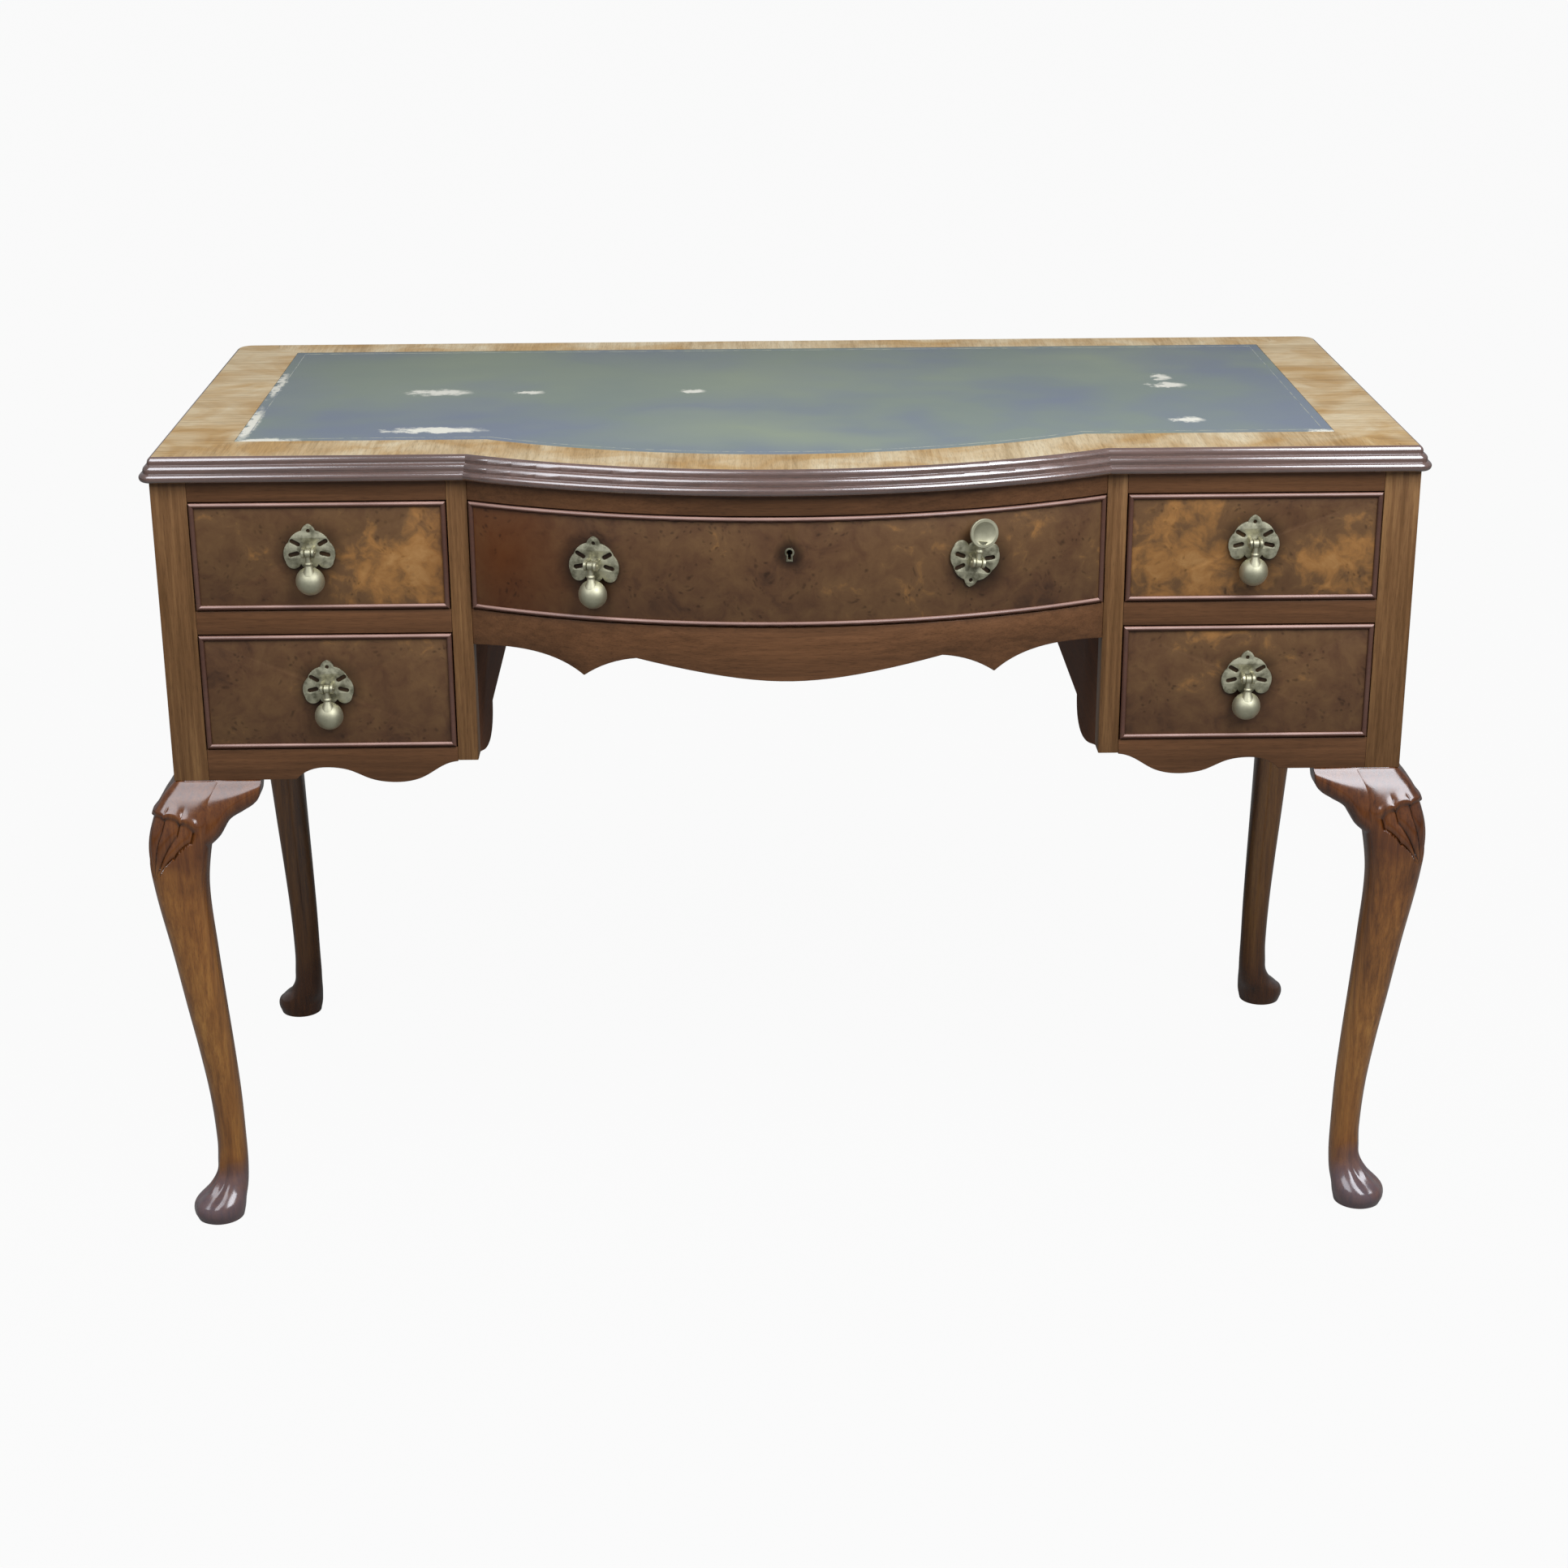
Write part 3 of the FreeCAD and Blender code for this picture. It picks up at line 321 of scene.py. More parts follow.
def burr_veneer(finishes):
    """Burr walnut veneer: swirling clusters of dark eyes between golden patches, under polish."""
    material, tree, place = patterned("burr_walnut_veneer")
    swirl = add(tree, "ShaderNodeTexNoise", {"Vector": place, "Scale": 1 / 0.038, "Detail": 3.0})
    centred = add(tree, "ShaderNodeVectorMath", {0: swirl.outputs["Color"], 1: (0.5, 0.5, 0.5)},
                  operation="SUBTRACT")
    warped = pushed(tree, place, centred, 0.034)
    figure = add(tree, "ShaderNodeTexNoise", {"Vector": warped, "Scale": 1 / 0.017, "Detail": 6.0,
                                              "Roughness": 0.60, "Distortion": 0.3})
    broad = add(tree, "ShaderNodeTexNoise", {"Vector": place, "Scale": 1 / 0.105, "Detail": 1.5})
    # Golden areas where the log was cut nearer its pale outside, as centre X, Z and half widths
    golden = ((-0.340, 0.665, 0.105, 0.095), (0.360, 0.662, 0.105, 0.095), (0.490, 0.655, 0.085, 0.065))
    patches = nearest_spot(tree, warped, golden, "XZ")
    lift = add(tree, "ShaderNodeMath", {0: patches, 1: 0.54, 2: figure}, operation="MULTIPLY_ADD")
    level = add(tree, "ShaderNodeMix", {0: 0.50, 2: lift, 3: broad}, data_type="FLOAT")
    tone = add(tree, "ShaderNodeValToRGB", {0: level},
               stops=((0.32, finishes.burr_deep), (0.45, finishes.burr_dark), (0.60, finishes.burr_mid),
                      (0.71, finishes.burr_gold), (0.84, finishes.burr_bright)))
    red_end = nearest_spot(tree, warped, ((-0.255, 0.667, 0.080, 0.120),), "XZ")
    redness = add(tree, "ShaderNodeMapRange", {0: red_end, 4: 0.75})
    tinted = add(tree, "ShaderNodeMix", {0: redness, 6: tone, 7: finishes.burr_red}, **laid_over)
    # Bud eyes of a burr are 1 to 3 mm across, in clusters
    eyes = add(tree, "ShaderNodeTexVoronoi", {"Vector": warped, "Scale": 1 / 0.0065}, feature="F1")
    ring = add(tree, "ShaderNodeValToRGB", {0: eyes}, stops=((0.10, grey(0.45)), (0.34, grey(1.0))))
    cluster = add(tree, "ShaderNodeTexNoise", {"Vector": place, "Scale": 1 / 0.030, "Detail": 2.0})
    where = add(tree, "ShaderNodeMapRange", {0: cluster, 1: 0.46, 2: 0.62, 3: 0.0, 4: 0.85})
    dotted = add(tree, "ShaderNodeMix", {0: where, 6: tinted, 7: ring}, **darkening)
    # Darker behind the pierced plates and the hanging drops, and round the keyhole: painted shade of the plates
    # and openings, partly old wax
    plates = [joint["pos_m"] for joint in frame["joints"] if joint["name"].endswith("_drop_swing")]
    dark_spots = [(x, z - 0.004, 0.034, 0.034) for x, y, z in plates]
    low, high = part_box("keyhole_liner")
    dark_spots.append((0.0, (low.z + high.z) / 2, 0.015, 0.015))
    shadowed = nearest_spot(tree, place, dark_spots, "XZ")
    dirt_and_shade = add(tree, "ShaderNodeValToRGB", {0: shadowed}, stops=((0.0, grey(1.0)), (0.5, grey(0.3))))
    waxed_and_shaded = add(tree, "ShaderNodeMix", {0: 1.0, 6: dotted, 7: dirt_and_shade}, **darkening)
    # The veneer lies on the face only, and the board behind it is plain
    plain = straight_grain(tree, place, "X", *shades(finishes.rail_tone, 0.7, 1.3))[0]
    is_face = add(tree, "ShaderNodeMath", {0: facing(tree)["Y"], 1: -0.6}, operation="LESS_THAN")
    board = add(tree, "ShaderNodeMix", {0: is_face, 6: plain, 7: waxed_and_shaded}, **laid_over)
    sheen = add(tree, "ShaderNodeMapRange", {0: figure, 3: 0.30, 4: 0.46})
    surface(tree, {"Base Color": board, "Roughness": sheen, "IOR": 1.5, "Specular IOR Level": 0.3},
            figure, 0.06)
    return material


def faded_crossband(finishes):
    """Sun-faded walnut crossband: short golden grain at right angles to each edge, mitred at the corners."""
    material, tree, place = patterned("faded_walnut_crossband")
    tones = (finishes.border_dark, finishes.border_mid, finishes.border_light)
    ends, end_height = straight_grain(tree, place, "X", *tones)
    fronts, front_height = straight_grain(tree, place, "Y", *tones)
    axes = add(tree, "ShaderNodeSeparateXYZ", {0: place}).outputs
    reach = add(tree, "ShaderNodeMath", {0: axes["X"]}, operation="ABSOLUTE")
    out_side = add(tree, "ShaderNodeMath", {0: reach, 1: leather_high.x}, operation="SUBTRACT")
    out_front = add(tree, "ShaderNodeMath", {0: face_y + leather_margin, 1: axes["Y"]}, operation="SUBTRACT")
    out_back = add(tree, "ShaderNodeMath", {0: axes["Y"], 1: leather_high.y}, operation="SUBTRACT")
    out_depth = add(tree, "ShaderNodeMath", {0: out_front, 1: out_back}, operation="MAXIMUM")
    is_end = add(tree, "ShaderNodeMath", {0: out_side, 1: out_depth}, operation="GREATER_THAN")
    tone = add(tree, "ShaderNodeMix", {0: is_end, 6: fronts, 7: ends}, **laid_over)
    # The sun has faded it unevenly, in patches of about 70 mm
    cloud = add(tree, "ShaderNodeTexNoise", {"Vector": place, "Scale": 1 / 0.07, "Detail": 3.0,
                                             "Distortion": 0.8})
    fade = add(tree, "ShaderNodeValToRGB", {0: cloud}, stops=((0.34, linear("#e4cda6")), (0.60, grey(1.0))))
    faded = add(tree, "ShaderNodeMix", {0: 1.0, 6: tone, 7: fade}, **darkening)
    height = add(tree, "ShaderNodeMix", {0: is_end, 2: front_height, 3: end_height}, data_type="FLOAT")
    surface(tree, {"Base Color": faded, "Roughness": 0.42, "IOR": 1.5, "Specular IOR Level": 0.3}, height)
    return material


def carved_leg_walnut(name, finishes, share, bloom):
    """Polished carved walnut: dark wax on the knees, a grey bloom on the feet, the middle rubbed golden."""
    material, tree, place = patterned(name)
    plain_tones = (finishes.leg_dark, finishes.leg_mid, finishes.leg_gold)
    # A share below 1 darkens every tone: painted shade on the rear legs
    tones = [shades(tone, 1.0, share)[2] for tone in plain_tones]
    tone, height = straight_grain(tree, place, "Z", *tones)
    upward = add(tree, "ShaderNodeSeparateXYZ", {0: place}).outputs["Z"]
    wander = add(tree, "ShaderNodeTexNoise", {"Vector": place, "Scale": 1 / 0.05, "Detail": 2.0})
    level = add(tree, "ShaderNodeMath", {0: wander, 1: 0.09, 2: upward}, operation="MULTIPLY_ADD")
    # The height includes the wander, which adds about 45 mm
    rubbed = add(tree, "ShaderNodeValToRGB", {0: level},
                 stops=((0.085, linear("#c0aeb6")), (0.125, linear("#e0d8d0")), (0.24, grey(1.0)),
                        (0.38, linear("#f2e8e0")), (0.43, linear("#ab9284"))))
    shaded = add(tree, "ShaderNodeMix", {0: 1.0, 6: tone, 7: rubbed}, **darkening)
    grey_part = add(tree, "ShaderNodeMapRange", {0: level, 1: 0.068, 2: 0.105, 3: bloom, 4: 0.0})
    bloomed = add(tree, "ShaderNodeMix", {0: grey_part, 6: shaded, 7: finishes.foot_bloom}, **laid_over)
    # Darker in the cuts by their sharpness: dark wax, and painted shade of the hollows; the ridges stay lighter
    sharpness = add(tree, "ShaderNodeNewGeometry").outputs["Pointiness"]
    cuts = add(tree, "ShaderNodeValToRGB", {0: sharpness},
               stops=((0.44, grey(0.22)), (0.495, grey(0.9)), (0.56, grey(1.0))))
    waxed_and_shaded = add(tree, "ShaderNodeMix", {0: 1.0, 6: bloomed, 7: cuts}, **darkening)
    sheen = add(tree, "ShaderNodeMapRange", {0: height, 3: 0.17, 4: 0.25})
    surface(tree, {"Base Color": waxed_and_shaded, "Roughness": sheen, "IOR": 1.5, "Coat Weight": 0.8,
                   "Coat Roughness": 0.16}, height, 0.03, 0.0003)
    return material


def plain_lining(finishes):
    """Unpolished oak inside the drawers and case: dry, pale and straight-grained."""
    material, tree, place = patterned("dry_oak_lining")
    tone, height = straight_grain(tree, place, "Y", *shades(finishes.lining_tone, 0.62, 1.35))
    surface(tree, {"Base Color": tone, "Roughness": 0.72, "IOR": 1.45}, height, 0.25, 0.0005)
    return material


def cast_metal(name, dark, light, rough, patch=0.009):
    """Cast metal, hand filed and left to darken: rubbed high spots between patches of patina."""
    material, tree, place = patterned(name)
    cloud = add(tree, "ShaderNodeTexNoise", {"Vector": place, "Scale": 1 / patch, "Detail": 4.0,
                                             "Roughness": 0.6})
    tone = add(tree, "ShaderNodeValToRGB", {0: cloud}, stops=((0.36, dark), (0.58, light)))
    # Casting grain is near 0.3 mm; it is drawn at 0.8 mm so that it shows
    grit = add(tree, "ShaderNodeTexNoise", {"Vector": place, "Scale": 1 / 0.0008, "Detail": 2.0})
    sheen = add(tree, "ShaderNodeMapRange", {0: cloud, 3: rough + 0.16, 4: rough + 0.02})
    surface(tree, {"Base Color": tone, "Metallic": 1.0, "Roughness": sheen}, grit, 0.06, 0.0002)
    return material


def worn_leather(finishes):
    """Waxed hide: dark green-grey with a fine pebble and pale scuffs where it has rubbed, its colour lightened and
    patched by painted blue sheen and olive reflections.
    """
    material, tree, place = patterned("worn_desk_leather")
    cloud = add(tree, "ShaderNodeTexNoise", {"Vector": place, "Scale": 1 / 0.20, "Detail": 3.0,
                                             "Roughness": 0.55})
    # Mottled with a painted blue sheen over the ground colour
    mottle_and_sheen = add(tree, "ShaderNodeValToRGB", {0: cloud},
                  stops=((0.42, finishes.leather_deep), (0.60, finishes.leather_blue_sheen)))
    # Painted olive reflections, as centre X, Y and half widths
    olive_reflection_spots = (
        (-0.140, 0.350, 0.260, 0.200), (0.170, 0.320, 0.280, 0.240), (0.530, 0.380, 0.180, 0.110),
        (0.180, 0.050, 0.180, 0.120),
    )
    drifted = pushed(tree, place, cloud.outputs["Color"], 0.40)
    green = nearest_spot(tree, drifted, olive_reflection_spots, "XY")
    tone = add(tree, "ShaderNodeMix", {0: green, 6: mottle_and_sheen, 7: finishes.leather_olive_reflection}, **laid_over)
    # Rubbed places with torn edges, as centre X, Y and half widths
    rubbed_spots = (
        (-0.331, 0.040, 0.055, 0.026), (-0.244, 0.037, 0.024, 0.014), (-0.086, 0.038, 0.022, 0.012),
        (0.376, 0.083, 0.018, 0.030), (0.377, 0.046, 0.034, 0.022), (0.375, -0.104, 0.026, 0.022),
        (-0.320, -0.120, 0.085, 0.020), (-0.470, -0.158, 0.060, 0.022), (0.490, -0.160, 0.030, 0.020),
        (-0.495, -0.090, 0.014, 0.130), (-0.494, 0.080, 0.009, 0.110),
    )
    tear = 0.030
    middle = tear / 2
    ragged = add(tree, "ShaderNodeTexNoise", {"Vector": place, "Scale": 1 / 0.014, "Detail": 6.0,
                                              "Roughness": 0.72})
    torn = pushed(tree, place, ragged.outputs["Color"], tear)
    worn = nearest_spot(tree, torn, [(x + middle, y + middle, a, b) for x, y, a, b in rubbed_spots], "XY")
    broken = add(tree, "ShaderNodeMath", {0: worn, 1: ragged}, operation="MULTIPLY")
    scuffs = add(tree, "ShaderNodeMapRange", {0: broken, 1: 0.20, 2: 0.34})
    rubbed = add(tree, "ShaderNodeMix", {0: scuffs, 6: tone, 7: finishes.leather_worn}, **laid_over)
    sheen = add(tree, "ShaderNodeMapRange", {0: cloud, 1: 0.35, 2: 0.65, 3: 0.56, 4: 0.46})
    # Hide pebble is near 0.7 mm; it is drawn at 1.6 mm so that it shows
    pebble = add(tree, "ShaderNodeTexVoronoi", {"Vector": place, "Scale": 1 / 0.0016}, feature="SMOOTH_F1")
    surface(tree, {"Base Color": rubbed, "Roughness": sheen, "IOR": 1.5, "Specular IOR Level": 0.2},
            pebble, 0.16)
    return material


def faded_gilding(finishes):
    """Gold leaf pressed into leather and mostly rubbed away."""
    material, tree, place = patterned("faded_gilt_tooling")
    flakes = add(tree, "ShaderNodeTexNoise", {"Vector": place, "Scale": 1 / 0.012, "Detail": 4.0,
                                              "Roughness": 0.7})
    tone = add(tree, "ShaderNodeValToRGB", {0: flakes},
               stops=((0.40, finishes.leather_blue_sheen), (0.56, finishes.gilt_line)))
    surface(tree, {"Base Color": tone, "Roughness": 0.5})
    return material


# Meshes

def linked(name, data):
    """New object in the scene for a mesh, curve, lamp or camera."""
    holder = bpy.data.objects.new(name, data)
    bpy.context.scene.collection.objects.link(holder)
    return holder


def poured(shape, name):
    """Mesh from a bmesh, which is then freed."""
    mesh = bpy.data.meshes.new(name)
    shape.to_mesh(mesh)
    shape.free()
    return mesh


def final_mesh(holder):
    """Plain mesh of an object as its modifiers leave it; the object is then removed."""
    ready = holder.evaluated_get(bpy.context.evaluated_depsgraph_get())
    mesh = bpy.data.meshes.new_from_object(ready)
    holder.modifiers.clear()
    bpy.data.objects.remove(holder)
    return mesh


def smooth(mesh, degrees):
    """Smooth shading that keeps edges sharper than the angle."""
    mesh.shade_smooth()
    mesh.set_sharp_from_angle(angle=math.radians(degrees))
    return mesh


def to_mesh(shape, name, degrees=35):
    """Mesh from a bmesh, with doubles merged and faces turned outwards."""
    bmesh.ops.remove_doubles(shape, verts=shape.verts, dist=1e-6)
    bmesh.ops.recalc_face_normals(shape, faces=shape.faces)
    return smooth(poured(shape, name), degrees)


def place_piece(name, mesh, material, body, nodes=()):
    """Object for a finished mesh, riding on its body and standing for the CAD nodes."""
    mesh.materials.clear()
    mesh.materials.append(material)
    for face in mesh.polygons:
        face.material_index = 0
    piece = linked(name, mesh)
    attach(piece, body)
    if nodes:
        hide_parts(*nodes)
    return piece


def softened(node, material, arris, degrees=35):
    """Copy of a CAD board with its sharp edges eased, in the board's place."""
    shape = bmesh.new()
    shape.from_mesh(frame["nodes"][node].data)
    bmesh.ops.remove_doubles(shape, verts=shape.verts, dist=1e-6)
    bmesh.ops.dissolve_limit(shape, angle_limit=math.radians(0.4), verts=shape.verts, edges=shape.edges)
    if arris > 0:
        sharp = [edge for edge in shape.edges
                 if len(edge.link_faces) == 2 and edge.calc_face_angle(0) > math.radians(30)]
        bmesh.ops.bevel(shape, geom=sharp, offset=arris, segments=2, profile=0.5, affect="EDGES",
                        clamp_overlap=True)
    mesh = poured(shape, node + "_finished")
    if "custom_normal" in mesh.attributes:
        mesh.attributes.remove(mesh.attributes["custom_normal"])
    smooth(mesh, degrees)
    return place_piece(node + "_finished", mesh, material, body_of_node[node], [node])


def through(points, at):
    """Smooth curve through (place, value) points, in rising order, read at one place."""
    last = len(points) - 1
    start = max(k for k in range(last) if points[k][0] <= at or k == 0)

    def slope(k):
        before = points[max(k - 1, 0)]
        after = points[min(k + 1, last)]
        return (after[1] - before[1]) / (after[0] - before[0])

    span = points[start + 1][0] - points[start][0]
    t = (at - points[start][0]) / span
    value = (2 * t ** 3 - 3 * t ** 2 + 1) * points[start][1]
    value += (t ** 3 - 2 * t ** 2 + t) * span * slope(start)
    value += (3 * t ** 2 - 2 * t ** 3) * points[start + 1][1]
    return value + (t ** 3 - t ** 2) * span * slope(start + 1)


def mix(start, end, share):
    return start + (end - start) * share


def bell(value, width):
    """Soft hump that is 1 at 0."""
    return math.exp(-(value / width) ** 2)


def skin(shape, rings, closed_ends=True):
    """Joins rings of points into a closed skin."""
    loops = [[shape.verts.new(point) for point in ring] for ring in rings]
    count = len(loops[0])
    for upper, lower in zip(loops, loops[1:]):
        for k in range(count):
            after = (k + 1) % count
            shape.faces.new((upper[k], upper[after], lower[after], lower[k]))
    if closed_ends:
        shape.faces.new(loops[0])
        shape.faces.new(loops[-1])


# Sections of a leg: share of its height, then where its reach and its width lie on the way from the
# block (0) past the knee (1) and the ankle (2) to the pad (3), and how square it is
leg_sections = (
    (0.000, 2.96, 2.76, 2.0),
    (0.020, 3.00, 3.00, 2.0),
    (0.038, 2.88, 2.93, 2.0),
    (0.062, 2.40, 2.45, 2.0),
    (0.090, 2.10, 2.12, 2.0),
    (0.120, 2.03, 2.06, 2.0),
    (0.165, 2.00, 2.00, 2.0),
    (0.270, 1.93, 1.95, 2.1),
    (0.380, 1.76, 1.85, 2.3),
    (0.500, 1.53, 1.71, 2.4),
    (0.620, 1.31, 1.58, 2.6),
    (0.765, 0.95, 1.36, 3.0),
    (0.855, 0.92, 1.11, 3.6),
    (0.908, 0.73, 1.00, 4.2),
    (0.967, 0.36, 0.72, 5.5),
    (1.000, 0.00, 0.00, 8.0),
)


def leg_columns(reaches, widths):
    """Reach, width and squareness of a leg by share of its height, from its knee, ankle and pad."""
    def on_the_way(values, station):
        start = min(int(station), len(values) - 2)
        return mix(values[start], values[start + 1], station - start)

    reaches = (0.0,) + reaches
    widths = (leg_block,) + widths
    columns = [[], [], []]
    for share, reach, width, power in leg_sections:
        values = (on_the_way(reaches, reach), on_the_way(widths, width), power)
        for column, value in zip(columns, values):
            column.append((share, value))
    return columns


def reed_arch(angle, half, count):
    """Round tops of the reeds across a fan: 1 on the middle of each reed, 0 between two."""
    place = (angle / half + 1) / 2 * count
    return math.sqrt(max(0.0, 1 - (2 * (place % 1) - 1) ** 2))


def knee_carving(angle, z, sizes):
    """How far the carving stands off the plain knee: a scalloped lip over a pointed fan of reeds."""
    half = math.radians(72)
    lip_depth = 0.029
    lip_sag = 0.010
    lip_width = 0.0042
    fan_shoulder = 0.013
    fan_start = 0.0025
    fan_end = 0.020
    lip = case_bottom - lip_depth - lip_sag * (1 - math.cos(1.4 * angle))
    lip += sizes.scallop * reed_arch(angle, half, sizes.reed_count)
    below = lip - z
    left = sizes.fan_length - below
    inside = 1 / (1 + math.exp((abs(angle) - half) / 0.06))
    stand = sizes.lip_height * bell(below + 0.003, lip_width) * inside
    if below <= 0 or left <= 0:
        return stand
    half *= min(1.0, left / (sizes.fan_length - fan_shoulder))
    if abs(angle) >= half:
        return stand
    cut = min(1.0, below / fan_start) * min(1.0, left / fan_end)
    return stand - cut * sizes.reed_depth * (1.25 - reed_arch(angle, half, sizes.reed_count))


def foot_carving(angle, z, sizes):
    """Ridge down the instep of the pad foot, with a shallow hollow on each side."""
    instep_height = 0.034
    hollow_angle = 0.48
    low = bell(z - instep_height, 0.020)
    ridge = sizes.instep_ridge * bell(angle, 0.16)
    hollow = sizes.instep_ridge * 1.2 * bell(abs(angle) - hollow_angle, 0.20)
    return low * (ridge - hollow)


def leg_mesh(name, side, end, columns, sizes, carved):
    """Cabriole leg at one corner; side and end are the signs of its X and Y."""
    centre_x = side * (case_x - leg_block / 2)
    centre_y = face_y + leg_block / 2 if end < 0 else back_y - leg_block / 2
    # Levels lie close together over the knee carving and the foot, and further apart between
    levels = [case_bottom - 0.0012 * k for k in range(96)]
    levels += [levels[-1] - 0.006 * k for k in range(1, 44)]
    levels += [levels[-1] * (1 - k / 56) for k in range(1, 57)]
    outward = math.atan2(end, side)
    count = 220 if carved else 110
    rings = []
    for z in levels:
        share = z / case_bottom
        reach, width, power = (through(column, share) for column in columns)
        ring = []
        for k in range(count):
            even = 2 * math.pi * (k / count - 0.5)
            # Points lie closer together on the outer corner, where the carving is
            angle = even - 0.5 * math.sin(even)
            turn = outward + angle
            across = abs(math.cos(turn)) ** power + abs(math.sin(turn)) ** power
            radius = width / 2 / across ** (1 / power)
            radius += foot_carving(angle, z, sizes)
            if carved:
                radius += knee_carving(angle, z, sizes)
            ring.append((centre_x + side * reach + radius * math.cos(turn),
                         centre_y + end * reach + radius * math.sin(turn), z))
        rings.append(ring)
    shape = bmesh.new()
    skin(shape, rings)
    return to_mesh(shape, name, degrees=50)


# Lower edge of a knee bracket: distance from its tip, depth under the case
bracket_edge = ((0.000, 0.0000), (0.002, 0.0140), (0.008, 0.0230), (0.017, 0.0290), (0.031, 0.0380),
                (0.041, 0.0540), (0.0495, 0.0620), (0.055, 0.0670), (0.075, 0.0720))


def bracket_rings(swell, columns, put):
    """Sections of one knee bracket from its tip into the leg; put turns along, out, z into a point."""
    tip = 0.0004
    run = 0.0700
    rings = []
    for k in range(41):
        along = tip + run * (k / 40) ** 1.3
        depth = through(bracket_edge, along)
        taper = mix(0.20, 1.02, min(1, along / 0.047)) * swell
        ring = [put(along, -bracket_back, case_bottom)]
        for step in range(33):
            down = depth * step / 32
            reach, width, power = (through(column, 1 - down / case_bottom) for column in columns)
            crown = max(0.0001, reach + width / 2 - leg_block / 2 - 0.0005)
            out = (crown ** -5 + taper ** -5) ** -0.2
            edge = min(1, (depth - down) / min(0.016, depth * 0.6))
            ring.append(put(along, out * math.sqrt(1 - (1 - edge) ** 2), case_bottom - down))
        ring.append(put(along, -bracket_back, case_bottom - depth))
        rings.append(ring)
    return rings


def knee_brackets_mesh(front, rear):
    """Six knee brackets: two on each front leg and one on each rear leg."""
    shape = bmesh.new()
    reach = 0.55 * leg_block + 0.055
    tip_x = case_x - reach
    tip_front = face_y + reach
    tip_back = back_y - reach
    for side in (-1, 1):
        skin(shape, bracket_rings(0.024, front, lambda a, out, z: (side * (tip_x + a), face_y - out, z)))
        skin(shape, bracket_rings(0.024, front, lambda a, out, z: (side * (case_x + out), tip_front - a, z)))
        skin(shape, bracket_rings(0.008, rear, lambda a, out, z: (side * (case_x + out), tip_back + a, z)))
    return to_mesh(shape, "knee_brackets_carved", degrees=50)


def arc_points(start, middle, end, count):
    """Points on the circle through three points, from start up to but without the end."""
    ax, ay = start
    bx, by = middle
    cx, cy = end
    bend = 2 * (ax * (by - cy) + bx * (cy - ay) + cx * (ay - by))
    squares = [x * x + y * y for x, y in (start, middle, end)]
    ux = (squares[0] * (by - cy) + squares[1] * (cy - ay) + squares[2] * (ay - by)) / bend
    uy = (squares[0] * (cx - bx) + squares[1] * (ax - cx) + squares[2] * (bx - ax)) / bend
    radius = math.hypot(ax - ux, ay - uy)
    first = math.atan2(ay - uy, ax - ux)
    to_middle = (math.atan2(by - uy, bx - ux) - first) % (2 * math.pi)
    to_end = (math.atan2(cy - uy, cx - ux) - first) % (2 * math.pi)
    if to_middle > to_end:
        to_end -= 2 * math.pi
    angles = [first + to_end * k / count for k in range(count)]
    return [(ux + radius * math.cos(a), uy + radius * math.sin(a)) for a in angles]


def plate_loops():
    """Outline of a handle plate and its pierced openings, in its own plane, in metres."""
    wide = 0.023
    tall = 0.0245
    tips = ((0, 1), (0.27, 0.74), (0.8, 0.31), (0.93, -0.42), (0.34, -0.52), (0, -0.72))
    swells = ((0.17, 0.9), (0.58, 0.6), (1, -0.05), (0.68, -0.68), (0.2, -0.66))
    tips = [(x * wide, y * tall) for x, y in tips]
    swells = [(x * wide, y * tall) for x, y in swells]
    right = []
    for k, swell in enumerate(swells):
        right += arc_points(tips[k], swell, tips[k + 1], 12)
    left = [(-x, y) for x, y in reversed(right[1:])]
    loops = [right + [tips[-1]] + left]
    opening_radius = 0.0020
    for angle in (30, -14):
        for side in (-1, 1):
            turn = math.radians(angle)
            opening = []
            for centre, start in ((0.0173, -90), (0.0112, 90)):
                for k in range(9):
                    bend = math.radians(start + 22.5 * k)
                    along = centre + opening_radius * math.cos(bend)
                    across = opening_radius * math.sin(bend)
                    x = along * math.cos(turn) - across * math.sin(turn)
                    y = along * math.sin(turn) + across * math.cos(turn)
                    opening.append((side * x, y))
            loops.append(opening)
    hole_radius = 0.0017
    hole_height = 0.0181
    turns = [k * math.pi / 8 for k in range(16)]
    loops.append([(hole_radius * math.cos(a), hole_height + hole_radius * math.sin(a)) for a in turns])
    return loops


def closed_spline(curve, points, z):
    """Closed line of straight runs through points at one height."""
    spline = curve.splines.new("POLY")
    spline.points.add(len(points) - 1)
    for point, (x, y) in zip(spline.points, points):
        point.co = (x, y, z, 1)
    spline.use_cyclic_u = True


def pierced_plate(bevel):
    """Flat plate with pierced openings and filed edges, its back on y = 0 and its front towards -Y."""
    outline = bpy.data.curves.new("plate_outline", "CURVE")
    outline.dimensions = "2D"
    outline.fill_mode = "BOTH"
    outline.extrude = plate_thickness / 2 - bevel
    outline.bevel_depth = bevel
    outline.bevel_resolution = 1
    outline.offset = -bevel
    for loop in plate_loops():
        closed_spline(outline, loop, 0)
    mesh = final_mesh(linked("plate_outline", outline))
    bpy.data.curves.remove(outline)
    mesh.transform(Matrix.Translation((0, -plate_thickness / 2, 0)) @ Matrix.Rotation(math.pi / 2, 4, "X"))
    return mesh


def turned(shape, axis, centre, stations, count=24):
    """Turned form about an axis line through a centre, from stations of distance along it and radius."""
    rings = []
    for along, radius in stations:
        ring = []
        for k in range(count):
            a = 2 * math.pi * k / count
            c = radius * math.cos(a)
            s = radius * math.sin(a)
            offset = {"X": (along, c, s), "Y": (s, along, c), "Z": (c, s, along)}[axis]
            ring.append(tuple(p + o for p, o in zip(centre, offset)))
        rings.append(ring)
    skin(shape, rings)


